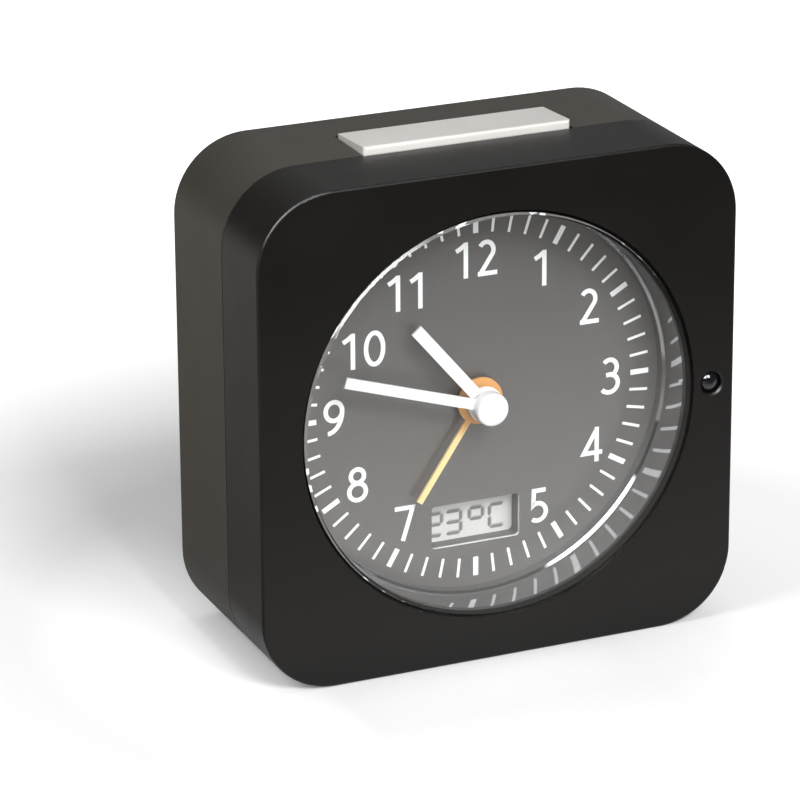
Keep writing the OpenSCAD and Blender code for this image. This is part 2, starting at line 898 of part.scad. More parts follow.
module light_sensor() color([0.03, 0.03, 0.03]) {
    big_r = (pow(sensor_r, 2) + pow(sensor_sag, 2)) / (2 * sensor_sag);
    union() {
        disc(sensor_pos, sensor_sag, sensor_l, sensor_r);
        intersection() {
            at(sensor_pos, big_r)
                sphere(r = big_r, $fn = 96);
            disc(sensor_pos, -1, sensor_sag + 0.01, sensor_r);
        }
    }
}

// Display

module lcd_glass() color([0.72, 0.74, 0.7]) {
    span(glass_front, glass_mid)
        translate([0, -window_drop])
            square([glass_w, glass_h], center = true);
    span(glass_mid, glass_back)
        translate([0, -window_drop + pin_ledge / 2])
            square([glass_w, glass_h - pin_ledge], center = true);
}

module zebra_strip() color([0.2, 0.2, 0.22])
    span(glass_mid, lcd_board_front)
        translate([0, -window_drop - glass_h / 2 + zebra_h / 2])
            square([glass_w - 2 * zebra_side, zebra_h], center = true);

module lcd_board() color([0.15, 0.4, 0.2])
    span(lcd_board_front, lcd_board_back)
        translate([0, -window_drop])
            square([lcd_board_w, lcd_board_h], center = true);

module lcd_chip() color([0.05, 0.05, 0.05])
    turned([lcd_chip_shift, -window_drop], lcd_board_back + lcd_chip_t,
        [[0, 0], [0.6 * lcd_chip_r, 0], [0.9 * lcd_chip_r, 0.4 * lcd_chip_t], [lcd_chip_r, lcd_chip_t],
            [0, lcd_chip_t]]);

module lcd_led() color([0.95, 0.95, 0.85])
    span(lcd_board_front - lamp_t, lcd_board_front)
        translate([glass_w / 2 + pocket_t + lamp_gap + lamp_w / 2, lamp_rise - window_drop])
            square([lamp_w, lamp_h], center = true);

// A flat cable from the display board to the main board, below the movement
module ribbon_cable() color([0.85, 0.85, 0.8]) {
    rise = axis_h - case_below - case_t - cable_drop;
    start = depth_y(lcd_board_back);
    end = depth_y(board_front);
    translate([cable_shift, 0, 0])
        rotate([90, 0, 90])
            linear_extrude(cable_w)
                polygon([[start, rise - cable_end], [start + cable_t, rise - cable_end],
                    [start + cable_t, rise - cable_t], [end, rise - cable_t],
                    [end, axis_h + board_low + cable_end], [end - cable_t, axis_h + board_low + cable_end],
                    [end - cable_t, rise], [start, rise]]);
}

// Light bar and its switch

// Height of the bar's top at a place behind its front
function bar_top_at(back) = bar_top - bar_fall * back / bar_d;

// Side view of the bar, drawn smaller by an inset, from a given height up
module bar_section(inset, low)
    polygon([[inset, low], [bar_d - inset, low], [bar_d - inset, bar_top_at(bar_d - inset) - inset],
        [inset, bar_top_at(inset) - inset]]);

// The same with its two upper edges rounded
module soft_bar_section(low) {
    lean = sqrt(1 + pow(bar_fall / bar_d, 2));
    ends = [bar_edge, bar_d - bar_edge];
    mids = [for (x = ends) [x, bar_top_at(x) - bar_edge * lean]];
    up = bar_edge * [bar_fall / bar_d, 1] / lean;
    polygon([[0, low], [bar_d, low], [bar_d, mids[1][1]], mids[1] + up, mids[0] + up, [0, mids[0][1]]]);
    for (mid = mids)
        translate(mid)
            circle(bar_edge);
}

// Pulls a side view of the bar out to a length, in the middle of the bar
module bar_pull(l)
    translate([bar_shift - l / 2, depth_y(bar_front), 0])
        rotate([90, 0, 90])
            linear_extrude(l)
                children();

module snooze_bar() color([0.72, 0.72, 0.7]) {
    boss_low = snooze_board_z + snooze_key_h + snooze_stem + bar_travel + 0.1;
    difference() {
        union() {
            intersection() {
                bar_pull(bar_l)
                    soft_bar_section(bar_low);
                translate([bar_shift, depth_y(snooze_mid), bar_low])
                    linear_extrude(bar_top - bar_low)
                        round_rect(bar_l, bar_d, bar_r);
            }
            translate([bar_shift - bar_l / 2 - bar_flange, depth_y(bar_front) + 1, bar_low])
                cube([bar_l + 2 * bar_flange, bar_d - 1, bar_flange_t]);
            translate([bar_shift - bar_l / 2 + 1, depth_y(bar_back) - 1, bar_low])
                cube([bar_l - 2, 1 + bar_flange, bar_flange_t]);
        }
        bar_pull(bar_l - 2 * bar_wall)
            bar_section(bar_wall, bar_low - over);
    }
    translate([bar_shift - bar_boss_w / 2, depth_y(snooze_mid) - bar_boss_w / 2, boss_low])
        cube([bar_boss_w, bar_boss_w, bar_top_at(bar_d / 2) - bar_wall / 2 - boss_low]);
    for (s = [-1, 1])
        translate([s * bar_l / 4, 0, 0])
            bar_pull(bar_rib_t)
                bar_section(bar_wall / 2, bar_low + 0.4);
}

module snooze_board() color([0.15, 0.4, 0.2])
    translate([bar_shift - snooze_post_x - snooze_post_w / 2, depth_y(snooze_mid) - snooze_d / 2,
            snooze_board_z - board_t])
        cube([2 * snooze_post_x + snooze_post_w, snooze_d, board_t]);

module snooze_switch() color([0.25, 0.25, 0.25])
    translate([bar_shift, depth_y(snooze_mid), snooze_board_z]) {
        translate([-key_w / 2, -key_w / 2, 0])
            cube([key_w, key_w, snooze_key_h]);
        cylinder(r = key_stem_r, h = snooze_key_h + snooze_stem);
    }

// Main board and what it carries

module main_board() color([0.15, 0.4, 0.2])
    span(board_front, board_back)
        difference() {
            translate([0, (board_low + board_high) / 2])
                square([2 * board_half_w, board_high - board_low], center = true);
            translate(set_pos)
                circle(set_shaft_r + 0.6);
            for (x = [-board_post_x, board_post_x], z = [board_post_low, board_post_high])
                translate([x, z])
                    circle(small_screw_r + slide_fit);
        }

module board_screws() color([0.7, 0.7, 0.68])
    mirror([0, 1, 0])
        translate([0, -2 * depth_y(board_front), 0])
            for (x = [-board_post_x, board_post_x], z = [board_post_low, board_post_high])
                screw([x, z], board_front + seat_fit, small_screw_r, small_head_r, small_head_t, board_screw_l);

module radio_chip() color([0.07, 0.07, 0.07]) {
    span(board_back, board_back + radio_chip_t)
        translate(radio_chip_place)
            square([radio_chip_w, radio_chip_h], center = true);
    span(board_back, board_back + chip_lead_w)
        for (i = [0:chip_leads - 1])
            translate(radio_chip_place + [(i - (chip_leads - 1) / 2) * chip_lead_pitch, 0])
                square([chip_lead_w, radio_chip_h + 2 * chip_lead_l], center = true);
}

module crystals() color([0.8, 0.8, 0.8])
    for (i = [0, 1])
        translate([crystal_place[0], depth_y(board_back) + crystal_r + seat_fit,
                axis_h + crystal_place[1] - i * crystal_pitch])
            rotate([0, 90, 0])
                cylinder(r = crystal_r, h = crystal_l);

module key_switches() color([0.25, 0.25, 0.25])
    for (i = [-1:1]) {
        place = [button_x + i * button_pitch, button_rise];
        span(board_back, board_back + key_h)
            translate(place)
                square(key_w, center = true);
        disc(place, board_back + key_h, board_back + key_h + key_stem, key_stem_r);
    }

module push_button(i) {
    place = [button_x + i * button_pitch, button_rise];
    stem_front = board_back + key_h + key_stem + button_travel + 0.1;
    flange_back = back_inner - button_gap;
    union() {
        disc(place, flange_back - button_flange, flange_back, button_r + 1);
        disc(place, flange_back - 0.1, body_depth + button_proud - 0.3, button_r);
        disc(place, body_depth, body_depth + button_proud, button_r - 0.3);
        disc(place, stem_front, flange_back, key_stem_r - 0.3);
    }
}

module button_left() color([0.2, 0.2, 0.2]) push_button(-1);

module button_middle() color([0.2, 0.2, 0.2]) push_button(0);

module button_right() color([0.2, 0.2, 0.2]) push_button(1);

module switch_body() color([0.75, 0.75, 0.75])
    difference() {
        span(board_back, board_back + key_h)
            translate([switch_shift, 0])
                square([switch_body_w, switch_body_h], center = true);
        span(board_back + 1, board_back + key_h + 1)
            translate([switch_shift, 0])
                square([lever_w + switch_travel + 2 * slide_fit, lever_w + 2 * slide_fit], center = true);
    }

module switch_lever() color([0.1, 0.1, 0.1])
    span(board_back + 1 + slide_fit, back_inner - slide_fit - plate_t - 0.1)
        translate([switch_shift - switch_travel / 2, 0])
            square(lever_w, center = true);

module alarm_switch() color([0.2, 0.2, 0.2]) {
    plate_back = back_inner - slide_fit;
    translate([switch_shift - switch_travel / 2, 0, 0]) {
        span(plate_back - plate_t, plate_back)
            square([slider_l + switch_travel + slider_edge, slider_h + slider_edge], center = true);
        span(plate_back - plate_t - fork_h, plate_back - plate_t)
            for (s = [-1, 1])
                translate([s * (lever_w / 2 + fork_t / 2 + seat_fit), 0])
                    square([fork_t, fork_w], center = true);
        difference() {
            span(plate_back, body_depth + slider_proud)
                square([slider_l, slider_h], center = true);
            for (i = [-1:1])
                translate([i * notch_pitch - notch_w / 2, depth_y(body_depth + slider_proud - notch_deep),
                        axis_h - slider_h])
                    cube([notch_w, 2 * notch_deep, 2 * slider_h]);
        }
    }
}

// Aerial and buzzer

module ferrite_rod() color([0.2, 0.19, 0.19])
    translate([-rod_l / 2, depth_y(rod_depth), axis_h + rod_rise])
        rotate([0, 90, 0])
            cylinder(r = rod_r, h = rod_l);

module aerial_winding() color([0.75, 0.42, 0.2])
    translate([clip_x - clip_t - winding_l, depth_y(rod_depth), axis_h + rod_rise])
        rotate([0, 90, 0])
            difference() {
                cylinder(r = rod_r + winding_t, h = winding_l);
                translate([0, 0, -1])
                    cylinder(r = rod_r + seat_fit, h = winding_l + 2);
            }

module buzzer() color([0.8, 0.68, 0.35]) {
    seat = back_inner - buzzer_seat;
    disc(buzzer_pos, seat - buzzer_t / 2, seat, buzzer_r);
    disc(buzzer_pos, seat - buzzer_t, seat - buzzer_t / 2, buzzer_r * 0.7);
}

// Battery bay

module battery_holder() color([0.15, 0.15, 0.15])
    difference() {
        span(holder_floor - holder_wall, mouth_inner)
            translate([0, bay_z])
                square([2 * (bay_half_l + holder_wall), 2 * (bay_half_h + holder_wall)], center = true);
        span(holder_floor, mouth_inner + 1)
            translate([0, bay_z])
                square([2 * bay_half_l, 2 * bay_half_h], center = true);
    }

// A bowed strip that presses on the flat end of the cell
module spring_contact() color([0.8, 0.8, 0.78]) {
    half = bay_half_h - contact_side;
    front = depth_y(holder_floor) + contact_end;
    back = depth_y(mouth_inner) - contact_end;
    mid = (front + back) / 2;
    x = -bay_half_l;
    bow = contact_room - contact_t - contact_play;
    translate([0, 0, axis_h + bay_z - half])
        linear_extrude(2 * half)
            polygon([[x, front], [x + contact_t, front], [x + contact_t, back - contact_bend],
                [x + bow, mid], [x + bow + contact_t, mid + contact_play], [x + 2 * contact_t, back],
                [x, back]]);
}

// A flat strip with a raised button for the other end of the cell
module plate_contact() color([0.8, 0.8, 0.78]) {
    half = bay_half_h - contact_side;
    span(holder_floor + contact_end, mouth_inner - contact_end)
        translate([bay_half_l - contact_t / 2, bay_z])
            square([contact_t, 2 * half], center = true);
    translate([bay_half_l - contact_t, depth_y((holder_floor + mouth_inner) / 2), axis_h + bay_z])
        rotate([0, -90, 0])
            cylinder(r1 = button_r1, r2 = button_r2, h = contact_room - contact_t - button_short);
}

module battery_door() color([0.3, 0.285, 0.265])
    difference() {
        union() {
            intersection() {
                translate([-door_half_w, depth_y(door_inner) + slide_fit, door_low])
                    cube([2 * door_half_w, door_t, door_h - door_low]);
                translate([0, depth_y(seam_back), axis_h])
                    rotate([-90, 0, 0])
                        soft_slab(body_w, body_h, corner_r, rear_depth, back_edge);
            }
            for (s = [-1, 1])
                translate([s * door_half_w - (s < 0 ? tongue_w : tongue_root),
                        depth_y(door_inner) + slide_fit, door_low + tongue_low])
                    cube([tongue_w + tongue_root, tongue_t, door_h - door_low - tongue_low]);
        }
        for (i = [0:door_grips - 1])
            translate([-grip_l / 2, depth_y(body_depth) - grip_deep, door_h - grip_top - i * grip_pitch])
                cube([grip_l, 2 * grip_deep, grip_w]);
    }

// Movement

module case_outline(grow)
    translate([0, (case_above - case_below) / 2])
        round_rect(2 * (case_half_w + grow), case_above + case_below + 2 * grow, case_r + grow);

module case_posts() {
    translate([-case_post_x, -case_post_low])
        children();
    translate([case_post_x, -case_post_low])
        children();
    translate([-case_post_x, case_post_high])
        children();
}

module movement_front() color([0.2, 0.2, 0.22]) difference() {
    union() {
        span(case_front, case_back)
            case_outline(case_t);
        disc([0, 0], dial_depth - nose_proud, case_front + 0.1, nose_r);
    }
    difference() {
        span(case_inner, case_back + 1)
            case_outline(0);
        span(case_inner - 1, case_back + 2)
            case_posts()
                circle(case_post_r);
        span(case_inner - 1, centre_front)
            case_posts()
                circle(case_post_r + case_shoulder);
        disc(idler_pos, case_inner - 1, centre_front - 0.1, idler_stud_r);
    }
    disc([0, 0], 0, case_inner + 1, alarm_pipe_r + run_fit);
    span(case_front - 1, case_back + 1)
        case_posts()
            circle(small_screw_r + slide_fit / 2);
    disc(set_pos, case_front + 0.4, case_inner + 1, pivot_r + run_fit);
}

module movement_back() color([0.2, 0.2, 0.22]) difference() {
    union() {
        span(case_back, case_end)
            case_outline(case_t);
        span(magnet_mid + stator_t / 2, case_back + 0.1)
            stator_ends()
                circle(stator_post_r);
    }
    span(case_back - 1, case_end + 1)
        case_posts()
            circle(small_screw_r + slide_fit / 2);
    disc(set_pos, case_back - 1, case_end + 1, set_shaft_r + run_fit);
    for (place = [[0, 0], step_pos, rotor_pos])
        disc(place, case_back - 1, case_end - 0.3, pivot_r + run_fit);
}

// Where posts hold the stator between the centre plate and the back of the case
module stator_ends()
    for (s = [-1, 1])
        translate([core_x, rotor_pos[1] + s * (coil_l / 2 + 1.8)])
            children();

module centre_plate() color([0.55, 0.55, 0.58]) {
    span(centre_back - 0.1, magnet_mid - stator_t / 2)
        stator_ends()
            circle(stator_post_r);
    span(centre_front, centre_back)
        difference() {
            case_outline(-seat_fit);
            case_posts()
                circle(case_post_r + seat_fit);
            circle(arbor_r + 0.2 + run_fit);
            translate(set_pos)
                circle(set_shaft_r + run_fit);
            for (place = [step_pos, rotor_pos])
                translate(place)
                    circle(pivot_r + run_fit);
        }
}

module movement_screws() color([0.7, 0.7, 0.68])
    for (place = [[-case_post_x, -case_post_low], [case_post_x, -case_post_low],
            [-case_post_x, case_post_high]])
        screw(place, case_end + seat_fit, small_screw_r, small_head_r, small_head_t,
            case_end - carrier_back + carrier_t - 0.2);

module stator() color([0.5, 0.5, 0.52])
    span(magnet_mid - stator_t / 2, magnet_mid + stator_t / 2)
        translate([0, rotor_pos[1]])
            difference() {
                union() {
                    translate([rotor_pos[0], 0])
                        square([2 * magnet_r + 3, coil_l + 6], center = true);
                    for (s = [-1, 1])
                        translate([(rotor_pos[0] + core_x) / 2, s * (coil_l / 2 + 1.8)])
                            square([core_x - rotor_pos[0] + core_w, 2.4], center = true);
                    translate([core_x, 0])
                        square([core_w, coil_l + 6], center = true);
                }
                translate([rotor_pos[0], 0])
                    circle(magnet_r + 0.4);
            }

module coil() color([0.75, 0.42, 0.2])
    at([core_x, rotor_pos[1] - coil_l / 2], magnet_mid)
        rotate([-90, 0, 0])
            difference() {
                cylinder(r = coil_r, h = coil_l);
                translate([-core_w / 2 - seat_fit, -stator_t / 2 - seat_fit, -1])
                    cube([core_w + 2 * seat_fit, stator_t + 2 * seat_fit, coil_l + 2]);
            }

module rotor() color([0.3, 0.3, 0.32]) {
    gear(rotor_pos, layer_5, rotor_teeth, gear_m, leaf_shift, rotor_turn);
    disc(rotor_pos, layer_5 + gear_t, magnet_front + magnet_l, magnet_r);
    disc(rotor_pos, centre_back + 0.1, layer_5 + 0.1, 1);
    disc(rotor_pos, centre_front + 0.2, magnet_mid, pivot_r);
    disc(rotor_pos, magnet_mid, case_end - 0.4, pivot_r);
}

module intermediate_wheel() color([0.9, 0.9, 0.86]) {
    gear(step_pos, layer_4, step_teeth, gear_m, leaf_shift, step_turn);
    gear(step_pos, layer_5, step_wheel_teeth, gear_m, -leaf_shift, 0);
    disc(step_pos, layer_4 + gear_t - 0.1, layer_5 + 0.1, 1.2);
    disc(step_pos, layer_5 + gear_t - 0.1, case_back - 0.2, 1.2);
    disc(step_pos, centre_front + 0.2, case_end - 0.4, pivot_r);
}

module centre_wheel() color([0.85, 0.8, 0.6]) {
    gear([0, 0], layer_4, centre_teeth, gear_m, -leaf_shift, 90);
    gear([0, 0], layer_3, minute_teeth, idler_m, leaf_shift, 0);
    disc([0, 0], cap_depth + cap_wall, centre_front, arbor_r);
    disc([0, 0], layer_3 + gear_t - 0.1, layer_4 + 0.1, arbor_r + 0.2);
    disc([0, 0], layer_4 + gear_t - 0.1, case_back - 0.2, arbor_r + 0.4);
    disc([0, 0], case_back - 1, case_end - 0.4, pivot_r);
}

module minute_idler() color([0.9, 0.9, 0.86]) difference() {
    union() {
        gear(idler_pos, layer_3, idler_teeth, idler_m, -leaf_shift, idler_turn);
        gear(idler_pos, layer_2, idler_leaf_teeth, gear_m, leaf_shift, 0);
        disc(idler_pos, layer_2 + gear_t - 0.1, layer_3 + 0.1, 1.3);
    }
    disc(idler_pos, layer_2 - 1, layer_3 + gear_t + 1, idler_stud_r + run_fit);
}

module hour_wheel() color([0.9, 0.9, 0.86]) difference() {
    union() {
        gear([0, 0], layer_2, hour_teeth, gear_m, -leaf_shift, hour_turn);
        disc([0, 0], hour_depth, layer_2 + 0.1, hour_pipe_r);
    }
    disc([0, 0], 0, layer_3, arbor_r + run_fit);
}

module alarm_wheel() color([0.9, 0.9, 0.86]) difference() {
    union() {
        gear([0, 0], layer_1, alarm_teeth, gear_m, 0, 0);
        disc([0, 0], alarm_depth, layer_1 + 0.1, alarm_pipe_r);
    }
    disc([0, 0], 0, layer_2, hour_pipe_r + run_fit);
}

module alarm_set_wheel() color([0.9, 0.9, 0.86]) {
    gear(set_pos, layer_1, set_teeth, gear_m, 0, set_turn);
    disc(set_pos, case_front + 0.5, layer_1 + 0.1, pivot_r);
    disc(set_pos, layer_1 + gear_t - 0.1, body_depth + knob_proud - 1.6, set_shaft_r);
}

module alarm_set_knob() color([0.2, 0.2, 0.2]) {
    front = well_floor + 0.3;
    back = body_depth + knob_proud;
    difference() {
        union() {
            span(front, back - 0.5)
                fluted(knob_r);
            span(back - 0.6, back)
                fluted(knob_r - 0.5);
        }
        disc(knob_place(), back - 0.5, back + 1, knob_r - 2.2);
        disc(knob_place(), front - 1, body_depth + knob_proud - 1.6 + seat_fit, set_shaft_r + seat_fit);
    }
}

function knob_place() = [knob_shift, 0];

module fluted(r)
    translate(knob_place())
        difference() {
            circle(r);
            for (i = [0:knob_flutes - 1])
                rotate(360 * i / knob_flutes)
                    translate([r + 0.35, 0])
                        circle(0.75);
        }

// Hands: flat batons on collars, drawn pointing up and then turned clockwise

module hand(front, angle, l, w, hub, collar, back, bore) difference() {
    union() {
        span(front, front + hand_t)
            rotate(-angle) {
                translate([-w / 2, 0])
                    square([w, l]);
                circle(hub);
            }
        disc([0, 0], front + hand_t / 2, back, collar);
    }
    disc([0, 0], front - 1, back + 1, bore + seat_fit);
}

module minute_hand() color([0.96, 0.96, 0.96])
    hand(minute_depth, minute_at, minute_l, minute_w, cap_r - cap_lip, arbor_r + collar_wall,
        hour_depth - collar_gap, arbor_r);

module hour_hand() color([0.96, 0.96, 0.96])
    hand(hour_depth, hour_at, hour_l, hour_w, hour_hub_r, hour_pipe_r + collar_wall,
        alarm_depth - collar_gap, hour_pipe_r);

module alarm_hand() color([0.93, 0.6, 0.2])
    hand(alarm_depth, alarm_at, alarm_l, alarm_w, alarm_hub_r, alarm_pipe_r + collar_wall,
        dial_depth - nose_proud - collar_gap, alarm_pipe_r);

module hand_cap() color([0.97, 0.97, 0.97])
    turned([0, 0], minute_depth, [[arbor_r + seat_fit, 0], [cap_r, 0],
        [cap_r, minute_depth - cap_depth - cap_edge],
        [cap_r - cap_edge * 0.3, minute_depth - cap_depth - cap_edge * 0.3],
        [cap_r - cap_edge, minute_depth - cap_depth], [0, minute_depth - cap_depth],
        [0, minute_depth - cap_depth - cap_wall + seat_fit],
        [arbor_r + seat_fit, minute_depth - cap_depth - cap_wall + seat_fit]]);

front_frame();
rear_housing();
lens();
mirror_ring();
dial();
dial_carrier();
carrier_screws();
lcd_glass();
zebra_strip();
lcd_board();
lcd_chip();
lcd_led();
ribbon_cable();
light_sensor();
snooze_bar();
snooze_board();
snooze_switch();
housing_screws();
main_board();
board_screws();
radio_chip();
crystals();
key_switches();
switch_body();
switch_lever();
alarm_switch();
button_left();
button_middle();
button_right();
ferrite_rod();
aerial_winding();
buzzer();
battery_holder();
spring_contact();
plate_contact();
battery_door();
movement_front();
movement_back();
centre_plate();
movement_screws();
stator();
coil();
rotor();
intermediate_wheel();
centre_wheel();
minute_idler();
hour_wheel();
alarm_wheel();
alarm_set_wheel();
alarm_set_knob();
minute_hand();
hour_hand();
alarm_hand();
hand_cap();
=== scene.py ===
"""The looks of a square radio-controlled alarm clock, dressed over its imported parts.

Everything is in metres in the parts' own frame: +Z up, the dial faces -Y, +X to the right.
Sizes that a maker would give in millimetres are written so and multiplied by MM.
"""
import json
import math

import bmesh
import bpy
from mathutils import Matrix, Vector


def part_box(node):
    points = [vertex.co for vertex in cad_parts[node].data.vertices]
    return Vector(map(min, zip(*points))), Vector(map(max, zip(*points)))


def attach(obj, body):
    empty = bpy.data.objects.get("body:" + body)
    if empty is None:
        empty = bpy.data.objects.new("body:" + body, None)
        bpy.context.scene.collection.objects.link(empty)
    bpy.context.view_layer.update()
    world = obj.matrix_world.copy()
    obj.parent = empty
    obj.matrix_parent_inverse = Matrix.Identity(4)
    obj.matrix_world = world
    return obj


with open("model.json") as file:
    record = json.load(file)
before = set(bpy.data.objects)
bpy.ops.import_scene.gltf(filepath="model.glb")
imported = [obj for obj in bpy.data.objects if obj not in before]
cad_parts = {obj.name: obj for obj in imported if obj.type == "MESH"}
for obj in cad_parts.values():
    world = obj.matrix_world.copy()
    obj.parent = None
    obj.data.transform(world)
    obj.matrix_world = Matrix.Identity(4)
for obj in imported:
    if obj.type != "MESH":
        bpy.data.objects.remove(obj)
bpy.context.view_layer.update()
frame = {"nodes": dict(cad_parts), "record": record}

MM = 0.001

# Places taken from the parts
dial_low, dial_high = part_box("dial")
glass_low, glass_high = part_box("lcd_glass")
body_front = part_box("front_frame")[0].y / MM
dial_face = dial_low.y
display_face = glass_low.y
dial_middle_x = (dial_low.x + dial_high.x) / 2
dial_middle_z = (dial_low.z + dial_high.z) / 2

# Print on the dial, in millimetres
ink_thickness = 0.03
layer_step = 0.08
minute_marks = 60
mark_inner = 30.15
mark_outer = 33.67
mark_width = 0.5
five_mark_width = 0.96
numeral_radius = 25.4
numeral_height = 6.55
numeral_stroke = 0.83
numeral_pitch = 0.64
mitre_limit = 0.4
three_scale = 1.07
numeral_shifts = {
    1: (0.3, 0.0), 2: (-0.1, 0.95), 3: (0.87, -0.05), 4: (0.77, 0.15), 5: (-0.38, -0.4), 7: (-0.95, 0.5),
    8: (-0.58, -0.1), 9: (-1.35, 0.3), 10: (0.77, -0.85), 11: (0.0, -0.82), 12: (0.1, 0.0),
}

# Figures of the display, in millimetres
figure_low = -26.8
figure_height = 4.8
figure_width = 3.5
figure_pitch = 3.71
figure_left = -8.24
figure_thickness = 0.01
segment_width = 0.62
segment_gap = 0.07
degree_height = 2.7
degree_width = 3.2
degree_left = 0.03
unit_left = 3.96
unit_width = 3.4

# The photograph's view, in millimetres and degrees
view_azimuth = -23.483
view_elevation = 20.365
view_roll = -0.366
view_distance = 747.24
view_lens = 197.24
view_sensor = 36.0
view_target = Vector((-19.147, body_front, 51.073))

# Finishes: the range that most of a noise lies in, and the dust on upward faces
noise_low = 0.3
noise_high = 0.7
dust_colour = (0.42, 0.4, 0.37, 1.0)

# Studio, in metres: the floor, its own light, the room and the window that reflections see, the soft fill
floor_half = 3.0
floor_glow_near = 0.04
floor_glow_far = 0.55
room_left = 0.05
room_right = 0.26
room_front = 0.25
world_fill = 0.12
window_direction = (-0.58, -0.5, 0.64)
window_strength = 20.0

# Lamps, in metres and watts: place, size, power, and whether glossy surfaces mirror them
lamp_aim = (0.0, 0.0, 0.045)
lamps = {
    "key_lamp": ((0.2, -1.84, 1.52), (0.85, 0.85), 43.0, True),
    "side_lamp": ((-0.3, -0.08, 0.28), (0.14, 0.14), 0.55, True),
    "low_lamp": ((-0.3, -1.7, 0.35), (1.2, 0.5), 17.0, False),
    "top_lamp": ((0.0, 0.15, 1.0), (0.8, 0.8), 2.2, True),
}

# Moulded plastics: colour, roughness, specular level; the grain's size, depth and strength; edge wear; dust
moulded_slots = {
    "frame_black": ((0.0046, 0.0041, 0.0037), 0.36, 0.3, 0.22, 0.006, 0.25, 0.5, 0.05),
    "housing_brown": ((0.033, 0.0295, 0.0245), 0.45, 0.3, 0.45, 0.016, 0.4, 0.35, 0.1),
    "connector_rubber": ((0.06, 0.06, 0.065), 0.75, 0.3, 0.2, 0.02, 0.5, 0.1, 0.2),
    "chip_black": ((0.018, 0.018, 0.018), 0.6, 0.4, 0.15, 0.01, 0.4, 0.3, 0.1),
    "cable_white": ((0.72, 0.72, 0.67), 0.5, 0.4, 1.0, 0.01, 0.3, 0.1, 0.1),
    "key_grey": ((0.05, 0.05, 0.05), 0.5, 0.4, 0.3, 0.01, 0.3, 0.3, 0.1),
    "ferrite_black": ((0.035, 0.033, 0.032), 0.38, 0.6, 0.12, 0.02, 0.6, 0.5, 0.1),
    "holder_black": ((0.022, 0.022, 0.022), 0.5, 0.4, 0.4, 0.015, 0.4, 0.3, 0.15),
    "case_black": ((0.03, 0.03, 0.033), 0.45, 0.45, 0.35, 0.012, 0.3, 0.3, 0.1),
    "plate_grey": ((0.26, 0.26, 0.27), 0.45, 0.45, 0.35, 0.01, 0.3, 0.2, 0.1),
    "magnet_black": ((0.05, 0.05, 0.053), 0.4, 0.6, 0.1, 0.02, 0.5, 0.4, 0.05),
    "wheel_white": ((0.78, 0.77, 0.72), 0.4, 0.5, 0.5, 0.008, 0.2, 0.0, 0.0),
    "wheel_amber": ((0.62, 0.5, 0.26), 0.4, 0.5, 0.5, 0.008, 0.2, 0.0, 0.0),
}

# Smooth plastics: colour, roughness, clear coat, smudge size
glossy_slots = {
    "lamp_white": ((0.85, 0.85, 0.76), 0.2, 0.0, 7.0),
    "sensor_black": ((0.006, 0.006, 0.008), 0.06, 0.5, 7.0),
    "cap_white": ((0.74, 0.74, 0.74), 0.12, 0.5, 3.0),
}

# Metals: colour, roughness, line size, how fast the lines change along X, Y and Z
plated_slots = {
    "screw_steel": ((0.62, 0.62, 0.6), 0.3, 0.05, (1.0, 1.0, 0.15)),
    "can_metal": ((0.74, 0.74, 0.72), 0.22, 0.06, (0.1, 1.0, 1.0)),
    "buzzer_brass": ((0.78, 0.6, 0.26), 0.3, 0.07, (0.1, 1.0, 1.0)),
    "contact_nickel": ((0.76, 0.73, 0.68), 0.2, 0.06, (1.0, 1.0, 0.1)),
    "stator_steel": ((0.42, 0.42, 0.43), 0.35, 0.05, (0.1, 1.0, 1.0)),
}


# Meshes


def on_dial(x, z):
    """A spot on the dial in metres, from millimetres to the right of and above the hands' axis."""
    return Vector((dial_middle_x + x * MM, dial_middle_z + z * MM))


def new_object(name, mesh, finish):
    """A mesh object in the scene with one finish."""
    piece = bpy.data.objects.new(name, mesh)
    bpy.context.scene.collection.objects.link(piece)
    mesh.materials.append(finish)
    return piece


def close_mesh(shape, name):
    """A mesh from a bmesh, with its faces turned outwards."""
    bmesh.ops.recalc_face_normals(shape, faces=shape.faces)
    mesh = bpy.data.meshes.new(name)
    shape.to_mesh(mesh)
    shape.free()
    return mesh


def arc(middle_x, middle_z, radius_x, radius_z, start, end, steps=14):
    """Points of an elliptic arc between two angles in degrees, anticlockwise from the right."""
    middle = Vector((middle_x, middle_z))
    points = []
    for step in range(steps + 1):
        angle = math.radians(start + (end - start) * step / steps)
        points.append(middle + Vector((radius_x * math.cos(angle), radius_z * math.sin(angle))))
    return points


def path_side(path, index, closed):
    """The sideways direction at a point of a path, longer at corners so that a strip keeps its width."""
    before = path[index - 1] if closed or index > 0 else None
    after = path[(index + 1) % len(path)] if closed or index + 1 < len(path) else None
    here = path[index]
    sides = []
    for start, end in ((before, here), (here, after)):
        if start is not None and end is not None:
            along = (end - start).normalized()
            sides.append(Vector((-along.y, along.x)))
    middle = sum(sides, Vector((0, 0))).normalized()
    return middle / max(middle.dot(sides[0]), mitre_limit)


def add_strip(shape, path, half_width, front, back, closed=False):
    """A flat strip of even width along a path of (x, z) points, as a closed solid between two depths."""
    rows = []
    for index, point in enumerate(path):
        side = path_side(path, index, closed) * half_width
        edges = (point + side, point - side)
        corners = [(edge.x, depth, edge.y) for depth in (front, back) for edge in edges]
        rows.append([shape.verts.new(corner) for corner in corners])
    spans = len(rows) if closed else len(rows) - 1
    for index in range(spans):
        here, there = rows[index], rows[(index + 1) % len(rows)]
        for first, second in ((0, 1), (1, 3), (3, 2), (2, 0)):
            shape.faces.new((here[first], here[second], there[second], there[first]))
    if not closed:
        for row in (rows[0], rows[-1]):
            shape.faces.new((row[0], row[1], row[3], row[2]))


